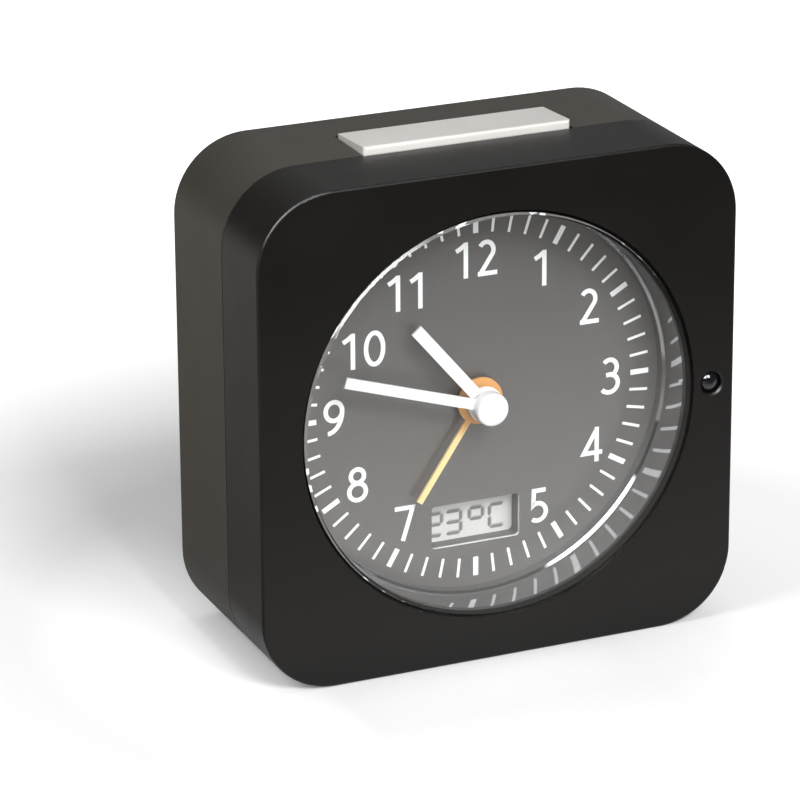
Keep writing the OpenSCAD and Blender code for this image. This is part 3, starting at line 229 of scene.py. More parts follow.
def add_plate(shape, outline, front, back):
    """A plate with an outline of (x, z) points, as a closed solid between two depths."""
    rims = [[shape.verts.new((x, depth, z)) for x, z in outline] for depth in (front, back)]
    for rim in rims:
        shape.faces.new(rim)
    for index in range(len(outline)):
        following = (index + 1) % len(outline)
        shape.faces.new((rims[0][index], rims[0][following], rims[1][following], rims[1][index]))


# Numerals and minute track


def digit_strokes(digit):
    """The strokes of a plain upright digit, one unit high, about its middle: (path, closed) pairs."""
    inset = numeral_stroke / numeral_height / 2
    top, low = 1 - inset, inset

    def point(x, z):
        return Vector((x, z))

    if digit == 0:
        return [(arc(0, 0.5, 0.245, 0.5 - inset, 0, 360, 44)[:-1], True)]
    if digit == 1:
        return [
            ([point(0.02, 1.0), point(0.02, 0)], False),
            ([point(0.0, 0.94), point(-0.13, 0.845), point(-0.26, 0.775)], False),
        ]
    if digit == 2:
        bowl = arc(-0.025, 0.705, 0.205, top - 0.705, 148, -28, 20)
        return [(bowl + [point(-0.2, low)], False), ([point(-0.27, low), point(0.29, low)], False)]
    if digit == 3:
        upper = arc(-0.035, 0.725, 0.2, top - 0.725, 140, -82, 22)
        lower = arc(-0.045, 0.305, 0.245, 0.305 - low, 84, -142, 24)
        return [(upper, False), ([point(-0.13, 0.528)] + lower, False)]
    if digit == 4:
        corner = [point(0.105, 0.9), point(-0.26, 0.265), point(0.3, 0.265)]
        return [(corner, False), ([point(0.13, 1.0), point(0.13, 0)], False)]
    if digit == 5:
        bowl = arc(-0.04, 0.315, 0.25, 0.315 - low, 112, -128, 24)
        return [([point(0.2, top), point(-0.15, top), point(-0.165, 0.52)] + bowl, False)]
    if digit == 7:
        return [([point(-0.29, top), point(0.235, top), point(-0.06, 0)], False)]
    if digit == 8:
        return [
            (arc(0, 0.745, 0.19, top - 0.745, 0, 360, 36)[:-1], True),
            (arc(0, 0.3, 0.24, 0.3 - low, 0, 360, 36)[:-1], True),
        ]
    ring = arc(-0.015, 0.675, 0.235, top - 0.675, 0, 360, 36)[:-1]
    tail = arc(-0.21, 0.675, 0.43, 0.675 - low, 0, -88, 20)
    return [(ring, True), (tail, False)]


def numeral(number, finish):
    """One hour numeral, printed upright near the numeral circle."""
    shape = bmesh.new()
    angle = math.radians(30 * number)
    digits = [int(letter) for letter in str(number)]
    left = -(len(digits) - 1) * numeral_pitch / 2
    middle = Vector((math.sin(angle), math.cos(angle))) * numeral_radius + Vector(numeral_shifts[number])
    height = numeral_height * (three_scale if number == 3 else 1)
    layer = 0
    for place, digit in enumerate(digits):
        for path, closed in digit_strokes(digit):
            offset = Vector((left + place * numeral_pitch, -0.5))
            spots = [middle + (point + offset) * height for point in path]
            drawn = [on_dial(spot.x, spot.y) for spot in spots]
            thickness = ink_thickness * (1 + layer_step * layer)
            add_strip(shape, drawn, numeral_stroke * MM / 2, dial_face - thickness * MM, dial_face, closed)
            layer += 1
    return new_object(f"numeral_{number}", close_mesh(shape, f"numeral_{number}"), finish)


def minute_track(finish):
    """The sixty marks round the dial, with a broad one at every fifth minute."""
    shape = bmesh.new()
    for minute in range(minute_marks):
        angle = 2 * math.pi * minute / minute_marks
        along = Vector((math.sin(angle), math.cos(angle)))
        ends = [on_dial(along.x * radius, along.y * radius) for radius in (mark_inner, mark_outer)]
        width = mark_width if minute % 5 else five_mark_width
        add_strip(shape, ends, width * MM / 2, dial_face - ink_thickness * MM, dial_face)
    return new_object("minute_track", close_mesh(shape, "minute_track"), finish)


# Display


def segment_outline(start, end, half):
    """One lit segment: a bar with pointed ends between two (x, z) points."""
    along = (end - start).normalized()
    side = Vector((-along.y, along.x)) * half
    start, end = start + along * segment_gap, end - along * segment_gap
    shoulder = along * half
    return [start, start + shoulder + side, end - shoulder + side, end, end - shoulder - side,
            start + shoulder - side]


def figure_segments(lit, left, low, width, height):
    """Outlines of the lit segments of one figure, with the usual letters a to g."""
    half = segment_width / 2
    x0, x1 = left + half, left + width - half
    z0, z1 = low + half, low + height - half
    zm = (z0 + z1) / 2
    ends = {
        "a": ((x0, z1), (x1, z1)), "b": ((x1, z1), (x1, zm)), "c": ((x1, zm), (x1, z0)),
        "d": ((x0, z0), (x1, z0)), "e": ((x0, zm), (x0, z0)), "f": ((x0, z1), (x0, zm)),
        "g": ((x0, zm), (x1, zm)),
    }
    return [segment_outline(Vector(ends[name][0]), Vector(ends[name][1]), half) for name in lit]


def box_ring(left, low, width, height):
    """Outlines of the four segments of the small raised degree figure."""
    half = segment_width / 2
    corners = [(left + half, low + half), (left + width - half, low + half),
               (left + width - half, low + height - half), (left + half, low + height - half)]
    return [segment_outline(Vector(corners[i]), Vector(corners[(i + 1) % 4]), half) for i in range(4)]


def display_figures(name, finish, shift, lift):
    """The figures of the temperature display, moved by shift and lifted off the glass, in millimetres."""
    top = figure_low + figure_height
    next_left = figure_left + figure_pitch
    outlines = figure_segments("abged", figure_left, figure_low, figure_width, figure_height)
    outlines += figure_segments("abgcd", next_left, figure_low, figure_width, figure_height)
    outlines += box_ring(degree_left, top - degree_height, degree_width, degree_height)
    outlines += figure_segments("afed", unit_left, figure_low, unit_width, figure_height)
    front = display_face - lift * MM
    back = front + figure_thickness * MM
    shape = bmesh.new()
    for outline in outlines:
        spots = [point + shift for point in outline]
        add_plate(shape, [on_dial(spot.x, spot.y) for spot in spots], front, back)
    return new_object(name, close_mesh(shape, name), finish)


# Node helpers


def add(tree, kind, settings=None, inputs=None):
    """A node with its settings, and inputs that are either values or the outputs of other nodes."""
    made = tree.nodes.new(kind)
    for name, value in (settings or {}).items():
        setattr(made, name, value)
    for name, value in (inputs or {}).items():
        if isinstance(value, bpy.types.NodeSocket):
            tree.links.new(value, made.inputs[name])
        else:
            made.inputs[name].default_value = value
    return made


def math_node(tree, operation, first, second, clamp=False):
    """The result of one calculation on two values."""
    return add(tree, "ShaderNodeMath", {"operation": operation, "use_clamp": clamp},
               {0: first, 1: second}).outputs[0]


def dot_product(tree, first, second):
    """How far two directions agree: one when they are the same."""
    return add(tree, "ShaderNodeVectorMath", {"operation": "DOT_PRODUCT"},
               {0: first, 1: second}).outputs["Value"]


def from_origin(tree, spot):
    """How far a spot is from the origin."""
    return add(tree, "ShaderNodeVectorMath", {"operation": "LENGTH"}, {0: spot}).outputs["Value"]


def mix_colour(tree, amount, first, second):
    """One colour faded into another."""
    return add(tree, "ShaderNodeMix", {"data_type": "RGBA"},
               {"Factor": amount, "A": first, "B": second}).outputs["Result"]


def remap(tree, value, low, high, new_low, new_high):
    """A value moved from one range to another and kept inside it."""
    return add(tree, "ShaderNodeMapRange", None, {"Value": value, "From Min": low, "From Max": high,
                                                  "To Min": new_low, "To Max": new_high}).outputs["Result"]


def feed(tree, node, label, value):
    """Links a value to one of a node's inputs."""
    tree.links.new(value, node.inputs[label])


def geometry(tree, name):
    """The X, Y and Z of a place or a direction on the surface, such as its Position or Normal."""
    vector = add(tree, "ShaderNodeNewGeometry").outputs[name]
    return add(tree, "ShaderNodeSeparateXYZ", None, {0: vector}).outputs


def object_place(tree):
    """The spot in the piece's own coordinates."""
    return add(tree, "ShaderNodeTexCoord").outputs["Object"]


def sized_noise(tree, place, size, **settings):
    """Noise whose patches have a size in millimetres."""
    scale = math_node(tree, "DIVIDE", 1 / MM, size)
    noise = add(tree, "ShaderNodeTexNoise", None, {"Vector": place, "Scale": scale, **settings})
    return noise.outputs["Fac"]


def spread(tree, noise, low, high):
    """A noise's usual range stretched from one value to another."""
    return remap(tree, noise, noise_low, noise_high, low, high)


def start_group(name, inputs, outputs):
    """A shader node group with named number inputs and named outputs."""
    tree = bpy.data.node_groups.new(name, "ShaderNodeTree")
    for label, value in inputs:
        socket = tree.interface.new_socket(label, in_out="INPUT", socket_type="NodeSocketFloat")
        socket.default_value = value
    for label in outputs:
        tree.interface.new_socket(label, in_out="OUTPUT", socket_type="NodeSocketFloat")
    return tree, tree.nodes.new("NodeGroupInput"), tree.nodes.new("NodeGroupOutput")


# Shared effects


def build_mould_grain():
    """Fine moulded texture: a slow change of tone over the piece and a fine height."""
    tree, given, result = start_group("mould_grain", [("Grain Size", 0.4), ("Tone Size", 25.0)],
                                      ["Tone", "Height"])
    place = object_place(tree)
    fine = sized_noise(tree, place, given.outputs["Grain Size"], Detail=3.0, Roughness=0.6)
    slow = sized_noise(tree, place, given.outputs["Tone Size"], Detail=5.0, Roughness=0.55, Distortion=0.4)
    feed(tree, result, "Tone", slow)
    feed(tree, result, "Height", fine)
    return tree


def build_edge_wear():
    """Where edges are rubbed: high on convex edges and broken up by noise."""
    tree, given, result = start_group("edge_wear", [("Radius", 0.3), ("Break Size", 1.5)], ["Mask"])
    radius = math_node(tree, "MULTIPLY", given.outputs["Radius"], MM)
    rounded = add(tree, "ShaderNodeBevel", {"samples": 4}, {"Radius": radius}).outputs["Normal"]
    flat = add(tree, "ShaderNodeNewGeometry").outputs["Normal"]
    match = dot_product(tree, rounded, flat)
    bend = remap(tree, match, 0.995, 0.9, 0.0, 1.0)
    broken = sized_noise(tree, object_place(tree), given.outputs["Break Size"], Detail=4.0)
    patches = remap(tree, broken, 0.42, 0.62, 0.0, 1.0)
    feed(tree, result, "Mask", math_node(tree, "MULTIPLY", bend, patches))
    return tree


def build_settled_dust():
    """Fine dust that lies on faces that look up."""
    tree, given, result = start_group("settled_dust", [("Grain Size", 0.5)], ["Mask"])
    upward = remap(tree, geometry(tree, "Normal")["Z"], 0.3, 1.0, 0.0, 1.0)
    grains = sized_noise(tree, object_place(tree), given.outputs["Grain Size"], Detail=6.0, Roughness=0.7)
    specks = remap(tree, grains, 0.5, 0.72, 0.0, 1.0)
    feed(tree, result, "Mask", math_node(tree, "MULTIPLY", upward, specks))
    return tree


def build_hairlines():
    """Fine straight lines along one axis of the piece, as drawn, rolled or polished metal shows."""
    tree, given, result = start_group("hairlines", [("Along X", 0.1), ("Along Y", 1.0), ("Along Z", 1.0),
                                                    ("Line Size", 0.08)], ["Height"])
    along = {axis: given.outputs[f"Along {axis}"] for axis in "XYZ"}
    stretch = add(tree, "ShaderNodeCombineXYZ", None, along).outputs["Vector"]
    stretched = add(tree, "ShaderNodeVectorMath", {"operation": "MULTIPLY"},
                    {0: object_place(tree), 1: stretch})
    lines = sized_noise(tree, stretched.outputs["Vector"], given.outputs["Line Size"], Detail=2.0)
    feed(tree, result, "Height", lines)
    return tree


def build_smudges():
    """Faint finger marks and wiped patches on a gloss surface."""
    tree, given, result = start_group("smudges", [("Patch Size", 8.0)], ["Mask"])
    patch = sized_noise(tree, object_place(tree), given.outputs["Patch Size"], Detail=5.0, Roughness=0.65,
                        Distortion=1.2)
    feed(tree, result, "Mask", remap(tree, patch, 0.4, 0.7, 0.0, 1.0))
    return tree


effects = {
    "grain": build_mould_grain(),
    "wear": build_edge_wear(),
    "dust": build_settled_dust(),
    "hairlines": build_hairlines(),
    "smudges": build_smudges(),
}


def effect(tree, name, **values):
    """One shared effect placed in a material, with its own values; underscores stand for spaces."""
    placed = add(tree, "ShaderNodeGroup", {"node_tree": effects[name]})
    for label, value in values.items():
        placed.inputs[label.replace("_", " ").title()].default_value = value
    return placed


# Finishes


def empty_tree(owner):
    """The node tree of a material or a world, with no nodes in it."""
    owner.use_nodes = True
    owner.node_tree.nodes.clear()
    return owner.node_tree


def start_finish(name, **values):
    """A material with a Principled surface; the values go straight onto its sockets."""
    finish = bpy.data.materials.new(name)
    tree = empty_tree(finish)
    surface = add(tree, "ShaderNodeBsdfPrincipled")
    for label, value in values.items():
        surface.inputs[label.replace("_", " ")].default_value = value
    feed(tree, add(tree, "ShaderNodeOutputMaterial"), "Surface", surface.outputs["BSDF"])
    return finish, tree, surface


def shade(colour, factor):
    """A colour made lighter or darker."""
    return tuple(min(part * factor, 1.0) for part in colour[:3]) + (1.0,)


def set_bump(tree, surface, height, strength, distance):
    """A bump of a real height in millimetres on the surface's normal."""
    bump = add(tree, "ShaderNodeBump", None,
               {"Height": height, "Strength": strength, "Distance": distance * MM})
    feed(tree, surface, "Normal", bump.outputs["Normal"])


def set_roughness(tree, surface, texture, low, high):
    """A roughness that follows the slow tone of the piece."""
    feed(tree, surface, "Roughness", spread(tree, texture.outputs["Tone"], low, high))


def toned(tree, texture, first, second):
    """A colour that follows the slow tone of the piece, between two."""
    return mix_colour(tree, texture.outputs["Tone"], first, second)


def moulded(name, colour, roughness, specular, grain, depth, strength, wear, dust):
    """Injection-moulded plastic: spark-eroded grain, slow tone, rubbed edges and a little dust."""
    finish, tree, surface = start_finish(name, IOR=1.5, Specular_IOR_Level=specular)
    texture = effect(tree, "grain", grain_size=grain, tone_size=22.0)
    rubbed = effect(tree, "wear", radius=0.25, break_size=1.8)
    settled = effect(tree, "dust", grain_size=0.35)
    base = toned(tree, texture, shade(colour, 0.88), shade(colour, 1.12))
    worn_amount = math_node(tree, "MULTIPLY", rubbed.outputs["Mask"], wear)
    worn = mix_colour(tree, worn_amount, base, shade(colour, 2.2))
    dust_amount = math_node(tree, "MULTIPLY", settled.outputs["Mask"], dust)
    feed(tree, surface, "Base Color", mix_colour(tree, dust_amount, worn, dust_colour))
    rough = spread(tree, texture.outputs["Tone"], roughness - 0.05, roughness + 0.05)
    polished = math_node(tree, "MULTIPLY", worn_amount, 0.15)
    feed(tree, surface, "Roughness", math_node(tree, "SUBTRACT", rough, polished, True))
    set_bump(tree, surface, texture.outputs["Height"], strength, depth)
    return finish


def glossy(name, colour, roughness, coat, patch):
    """Smooth plastic with faint smudges and a very fine orange peel."""
    finish, tree, surface = start_finish(name, IOR=1.49, Coat_Weight=coat, Coat_Roughness=0.05)
    texture = effect(tree, "grain", grain_size=1.2, tone_size=15.0)
    marks = effect(tree, "smudges", patch_size=patch)
    base = toned(tree, texture, shade(colour, 0.94), shade(colour, 1.06))
    feed(tree, surface, "Base Color", base)
    rough = remap(tree, marks.outputs["Mask"], 0.0, 1.0, roughness, roughness + 0.08)
    feed(tree, surface, "Roughness", rough)
    set_bump(tree, surface, texture.outputs["Height"], 0.08, 0.01)
    return finish


def plated(name, colour, roughness, line, along):
    """Plated or rolled metal with fine lines, dull patches and darker stains."""
    finish, tree, surface = start_finish(name, Metallic=1.0)
    lines = effect(tree, "hairlines", along_x=along[0], along_y=along[1], along_z=along[2], line_size=line)
    marks = effect(tree, "smudges", patch_size=3.0)
    amount = math_node(tree, "MULTIPLY", marks.outputs["Mask"], 0.25)
    feed(tree, surface, "Base Color", mix_colour(tree, amount, shade(colour, 1.0), shade(colour, 0.6)))
    rough = spread(tree, lines.outputs["Height"], roughness - 0.06, roughness + 0.08)
    dull = math_node(tree, "MULTIPLY", marks.outputs["Mask"], 0.12)
    feed(tree, surface, "Roughness", math_node(tree, "ADD", rough, dull, True))
    set_bump(tree, surface, lines.outputs["Height"], 0.15, 0.004)
    return finish


def mirror_ring_finish():
    """Bright metallised plastic with faint polishing marks; for bounced rays it is painted darker, which
    paints shade on the dial near it.
    """
    finish, tree, surface = start_finish("mirror_finish", Metallic=1.0)
    marks = effect(tree, "smudges", patch_size=4.0)
    texture = effect(tree, "grain", grain_size=2.5, tone_size=9.0)
    base = toned(tree, texture, (0.34, 0.341, 0.345, 1.0), (0.4, 0.401, 0.405, 1.0))
    path = add(tree, "ShaderNodeLightPath")
    bounces = math_node(tree, "ADD", path.outputs["Diffuse Depth"], path.outputs["Glossy Depth"])
    bounced = math_node(tree, "MINIMUM", bounces, 1.0)
    # Painted shade: for rays that have bounced, the ring's colour turns darker, so it sends less light back
    # onto the dial's edge.
    shade_dimmed = mix_colour(tree, math_node(tree, "MULTIPLY", bounced, 0.2), base, (0.02, 0.02, 0.02, 1.0))
    feed(tree, surface, "Base Color", shade_dimmed)
    polish = remap(tree, marks.outputs["Mask"], 0.0, 1.0, 0.035, 0.09)
    dull = math_node(tree, "MULTIPLY", bounced, 0.7)
    feed(tree, surface, "Roughness", math_node(tree, "MAXIMUM", polish, dull))
    set_bump(tree, surface, texture.outputs["Height"], 0.12, 0.02)
    return finish


def dial_finish():
    """A white sheet whose front is printed in warm grey, with painted shade towards the bottom and painted
    light towards the top; its cut edges stay white.
    """
    finish, tree, surface = start_finish("dial_grey", IOR=2.1)
    texture = effect(tree, "grain", grain_size=0.12, tone_size=14.0)
    printed = remap(tree, geometry(tree, "True Normal")["Y"], -0.4, -0.6, 0.0, 1.0)
    # Painted light and shade: the grey is darker at the dial's bottom and lighter at its top, to match how
    # the light falls on it.
    painted_light_rise = remap(tree, geometry(tree, "Position")["Z"], dial_low.z, dial_high.z, 0.0, 1.0)
    lower = toned(tree, texture, (0.061, 0.057, 0.055, 1.0), (0.068, 0.0638, 0.0617, 1.0))
    upper = toned(tree, texture, (0.103, 0.0965, 0.0933, 1.0), (0.114, 0.107, 0.104, 1.0))
    grey = mix_colour(tree, painted_light_rise, lower, upper)
    specks = spread(tree, texture.outputs["Height"], 0.0, 0.1)
    speckled = mix_colour(tree, specks, grey, (0.122, 0.115, 0.112, 1.0))
    feed(tree, surface, "Base Color", mix_colour(tree, printed, (0.82, 0.82, 0.8, 1.0), speckled))
    satin = spread(tree, texture.outputs["Tone"], 0.22, 0.27)
    mirrored = add(tree, "ShaderNodeLightPath").outputs["Glossy Depth"]
    dull = math_node(tree, "MINIMUM", mirrored, 0.65)
    feed(tree, surface, "Roughness", math_node(tree, "MAXIMUM", satin, dull))
    set_bump(tree, surface, texture.outputs["Height"], 0.15, 0.006)
    return finish


def ink_finish(name, colour, tone):
    """Screen-printed ink: even, slightly raised and a little uneven at close range."""
    finish, tree, surface = start_finish(name, IOR=1.45, Specular_IOR_Level=0.3)
    texture = effect(tree, "grain", grain_size=0.2, tone_size=4.0)
    base = toned(tree, texture, shade(colour, 1 - tone), shade(colour, 1 + tone))
    feed(tree, surface, "Base Color", base)
    set_roughness(tree, surface, texture, 0.42, 0.55)
    set_bump(tree, surface, texture.outputs["Height"], 0.2, 0.004)
    return finish


def from_axis(tree, near, far):
    """Zero at the hands' axis and one away from it, between two distances in millimetres."""
    spot = geometry(tree, "Position")
    flat = add(tree, "ShaderNodeCombineXYZ", None, {
        "X": math_node(tree, "SUBTRACT", spot["X"], dial_middle_x),
        "Z": math_node(tree, "SUBTRACT", spot["Z"], dial_middle_z)})
    return remap(tree, from_origin(tree, flat.outputs["Vector"]), near * MM, far * MM, 0.0, 1.0)


def hand_finish(name, colour, roughness, lit_shaft_colour=None):
    """Satin paint on a stamped hand: soft paint texture, darker where the edge is thin."""
    finish, tree, surface = start_finish(name, IOR=1.5, Coat_Weight=0.15, Coat_Roughness=0.25)
    texture = effect(tree, "grain", grain_size=0.5, tone_size=6.0)
    rubbed = effect(tree, "wear", radius=0.12, break_size=0.8)
    base = toned(tree, texture, shade(colour, 0.95), shade(colour, 1.05))
    # Painted shade: one paint all over, but the disc near the axis keeps a darker colour for the shade of
    # the hands and cap above it, and the shaft out of that shade is paler.
    if lit_shaft_colour:
        base = mix_colour(tree, from_axis(tree, 4.8, 8.0), base, shade(lit_shaft_colour, 1.0))
    worn_amount = math_node(tree, "MULTIPLY", rubbed.outputs["Mask"], 0.12)
    worn = mix_colour(tree, worn_amount, base, shade(colour, 0.55))
    feed(tree, surface, "Base Color", worn)
    set_roughness(tree, surface, texture, roughness - 0.05, roughness + 0.05)
    set_bump(tree, surface, texture.outputs["Height"], 0.12, 0.006)
    return finish


def clear_finish(name, tint, roughness):
    """Clear polished plastic that lets lamps light what lies behind it."""
    finish, tree, surface = start_finish(name, IOR=1.49, Metallic=0.0, Transmission_Weight=1.0)
    texture = effect(tree, "grain", grain_size=6.0, tone_size=20.0)
    base = toned(tree, texture, shade(tint, 0.985), tint)
    feed(tree, surface, "Base Color", base)
    set_roughness(tree, surface, texture, 0.0, roughness)
    set_bump(tree, surface, texture.outputs["Height"], 0.02, 0.01)
    see_through = add(tree, "ShaderNodeBsdfTransparent", None, {"Color": (0.95, 0.96, 0.96, 1.0)})
    shadow = add(tree, "ShaderNodeLightPath").outputs["Is Shadow Ray"]
    both = add(tree, "ShaderNodeMixShader", None, {"Fac": shadow, 1: surface.outputs["BSDF"],
                                                   2: see_through.outputs["BSDF"]})
    output = next(item for item in tree.nodes if item.type == "OUTPUT_MATERIAL")
    feed(tree, output, "Surface", both.outputs["Shader"])
    return finish


def display_finish():
    """The reflective glass of the display: pale grey with a faint grid of electrodes."""
    finish, tree, surface = start_finish("display_glass", IOR=1.5, Coat_Weight=0.1, Coat_Roughness=0.04)
    texture = effect(tree, "grain", grain_size=0.1, tone_size=5.0)
    lines = add(tree, "ShaderNodeTexWave", {"bands_direction": "X"},
                {"Vector": object_place(tree), "Scale": 240.0, "Distortion": 0.6})
    pale = toned(tree, texture, (0.56, 0.55, 0.535, 1.0), (0.65, 0.635, 0.62, 1.0))
    faint = math_node(tree, "MULTIPLY", lines.outputs["Fac"], 0.05)
    feed(tree, surface, "Base Color", mix_colour(tree, faint, pale, (0.4, 0.41, 0.4, 1.0)))
    feed(tree, surface, "Roughness", spread(tree, texture.outputs["Height"], 0.25, 0.4))
    set_bump(tree, surface, texture.outputs["Height"], 0.06, 0.003)
    return finish


def board_finish():
    """Green solder mask over copper tracks, with bare laminate on the cut edges."""
    finish, tree, surface = start_finish("board_green", IOR=1.5, Coat_Weight=0.4, Coat_Roughness=0.12)
    texture = effect(tree, "grain", grain_size=0.3, tone_size=12.0)
    tracks = add(tree, "ShaderNodeTexVoronoi", {"distance": "MANHATTAN", "feature": "F1"},
                 {"Vector": object_place(tree), "Scale": 210.0, "Randomness": 0.6})
    ridge = remap(tree, tracks.outputs["Distance"], 0.34, 0.4, 0.0, 1.0)
    mask = toned(tree, texture, (0.012, 0.1, 0.035, 1.0), (0.02, 0.15, 0.055, 1.0))
    over_copper = mix_colour(tree, ridge, mask, (0.035, 0.24, 0.09, 1.0))
    facing = geometry(tree, "True Normal")
    flatness = math_node(tree, "ABSOLUTE", facing["Y"], 0.0)
    upward = math_node(tree, "ABSOLUTE", facing["Z"], 0.0)
    face = math_node(tree, "GREATER_THAN", math_node(tree, "MAXIMUM", flatness, upward), 0.7)
    feed(tree, surface, "Base Color", mix_colour(tree, face, (0.32, 0.34, 0.16, 1.0), over_copper))
    set_roughness(tree, surface, texture, 0.28, 0.42)
    set_bump(tree, surface, ridge, 0.3, 0.03)
    return finish


def winding_finish():
    """Enamelled copper wire laid turn by turn."""
    finish, tree, surface = start_finish("copper_wire", Metallic=0.9, Coat_Weight=0.4, Coat_Roughness=0.1)
    turns = add(tree, "ShaderNodeTexWave", {"bands_direction": "X", "wave_profile": "SIN"},
                {"Vector": object_place(tree), "Scale": 800.0, "Distortion": 0.8, "Detail": 1.0})
    texture = effect(tree, "grain", grain_size=0.6, tone_size=5.0)
    wire = mix_colour(tree, turns.outputs["Fac"], (0.2, 0.055, 0.02, 1.0), (0.72, 0.3, 0.12, 1.0))
    varied = mix_colour(tree, math_node(tree, "MULTIPLY", texture.outputs["Tone"], 0.4), wire,
                        (0.5, 0.2, 0.07, 1.0))
    feed(tree, surface, "Base Color", varied)
    set_roughness(tree, surface, texture, 0.25, 0.4)
    set_bump(tree, surface, turns.outputs["Fac"], 0.8, 0.06)
    return finish


def bar_finish():
    """The frosted light bar: pale satin plastic with a soft texture and handled edges."""
    finish, tree, surface = start_finish("bar_white", IOR=1.49, Specular_IOR_Level=0.5)
    texture = effect(tree, "grain", grain_size=0.3, tone_size=12.0)
    rubbed = effect(tree, "wear", radius=0.35, break_size=3.0)
    settled = effect(tree, "dust", grain_size=0.4)
    base = toned(tree, texture, (0.6, 0.585, 0.555, 1.0), (0.7, 0.685, 0.655, 1.0))
    worn_amount = math_node(tree, "MULTIPLY", rubbed.outputs["Mask"], 0.5)
    worn = mix_colour(tree, worn_amount, base, (0.85, 0.84, 0.82, 1.0))
    dust_amount = math_node(tree, "MULTIPLY", settled.outputs["Mask"], 0.25)
    dusty = mix_colour(tree, dust_amount, worn, (0.4, 0.39, 0.37, 1.0))
    feed(tree, surface, "Base Color", dusty)
    set_roughness(tree, surface, texture, 0.3, 0.4)
    set_bump(tree, surface, texture.outputs["Height"], 0.25, 0.008)
    return finish


def carrier_finish():
    """White moulded plastic, with painted shade in dark grey on the walls round the display."""
    finish, tree, surface = start_finish("carrier_white", IOR=1.5)
    texture = effect(tree, "grain", grain_size=0.5, tone_size=18.0)
    white = toned(tree, texture, (0.7, 0.7, 0.67, 1.0), (0.8, 0.8, 0.77, 1.0))
    grey = toned(tree, texture, (0.1, 0.098, 0.095, 1.0), (0.13, 0.127, 0.123, 1.0))
    place = geometry(tree, "Position")
    # Painted shade: within a millimetre of the display the carrier turns dark grey, standing for the shade
    # on the walls of the recess.
    painted_shade_round_display = 1.0
    for axis, low, high in (("X", glass_low.x, glass_high.x), ("Z", glass_low.z, glass_high.z)):
        offset = math_node(tree, "SUBTRACT", place[axis], (low + high) / 2)
        from_middle = math_node(tree, "ABSOLUTE", offset, 0.0)
        near = math_node(tree, "LESS_THAN", from_middle, (high - low) / 2 + MM)
        painted_shade_round_display = math_node(tree, "MULTIPLY", near, painted_shade_round_display)
    feed(tree, surface, "Base Color", mix_colour(tree, painted_shade_round_display, white, grey))
    set_roughness(tree, surface, texture, 0.4, 0.5)
    set_bump(tree, surface, texture.outputs["Height"], 0.25, 0.01)
    return finish


def build_finishes():
    """Every finish of the clock, by the record's material slot."""
    finishes = {
        "lens_clear": clear_finish("lens_clear", (0.985, 0.99, 0.99, 1.0), 0.012),
        "mirror_finish": mirror_ring_finish(),
        "dial_grey": dial_finish(),
        "carrier_white": carrier_finish(),
        "display_glass": display_finish(),
        "board_green": board_finish(),
        "bar_white": bar_finish(),
        "copper_wire": winding_finish(),
        "hand_white": hand_finish("hand_white", (0.8, 0.8, 0.79), 0.4),
        # The alarm hand's darker orange near the axis is painted shade; the paler colour is its shaft out
        # of that shade.
        "hand_orange": hand_finish("hand_orange", (0.66, 0.33, 0.11), 0.4, (0.83, 0.65, 0.31)),
    }
    for kind, table in ((moulded, moulded_slots), (glossy, glossy_slots), (plated, plated_slots)):
        for name, values in table.items():
            finishes[name] = kind(name, *values)
    return finishes


def dress_parts(finishes):
    """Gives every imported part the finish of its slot."""
    for entry in frame["record"]["subparts"]:
        part = frame["nodes"][entry["node"]]
        for place in part.material_slots:
            place.material = finishes[entry["material_slot"]]


# Print and display


def print_dial():
    """Numerals and minute track on the dial."""
    white = ink_finish("ink_white", (0.88, 0.88, 0.87), 0.03)
    pieces = [numeral(number, white) for number in numeral_shifts]
    pieces.append(minute_track(white))
    for piece in pieces:
        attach(piece, "clock_case")


def light_display():
    """The temperature on the display, with the soft shadow that its figures throw on the rear film."""
    dark = ink_finish("figure_grey", (0.19, 0.19, 0.19), 0.05)
    soft = ink_finish("figure_shadow", (0.44, 0.44, 0.43), 0.03)
    pieces = [
        display_figures("display_shadow", soft, Vector((0.22, 0.25)), 0.02),
        display_figures("display_figures", dark, Vector((0.0, 0.0)), 0.045),
    ]
    for piece in pieces:
        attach(piece, "clock_case")


# Stage


def seen_rays(tree):
    """One for rays that the camera sees by reflection or through clear pieces, before any soft bounce."""
    path = add(tree, "ShaderNodeLightPath")
    bent = math_node(tree, "MAXIMUM", path.outputs["Is Glossy Ray"], path.outputs["Is Transmission Ray"])
    bounced = math_node(tree, "MINIMUM", path.outputs["Diffuse Depth"], 1.0)
    return path.outputs["Is Camera Ray"], math_node(tree, "SUBTRACT", bent, bounced, True)


def floor_whiteness(tree, away, spot):
    """The floor's own light for the camera: little in the clock's shadow, more away from it.

    It changes over ranges in metres, from the clock's middle or along an axis.
    """
    whiteness = remap(tree, away, 0.085, 0.18, floor_glow_near, floor_glow_far)
    beside = remap(tree, spot["X"], -0.032, -0.045, 0.0, 1.0)
    close = remap(tree, away, 0.05, 0.078, 0.26, 0.0)
    on_right = remap(tree, spot["X"], 0.02, 0.05, 0.0, 0.2)
    in_front = remap(tree, spot["Y"], -0.04, -0.09, 0.0, 0.25)
    for extra in (math_node(tree, "MULTIPLY", beside, close), on_right, in_front):
        whiteness = math_node(tree, "ADD", whiteness, extra)
    return whiteness


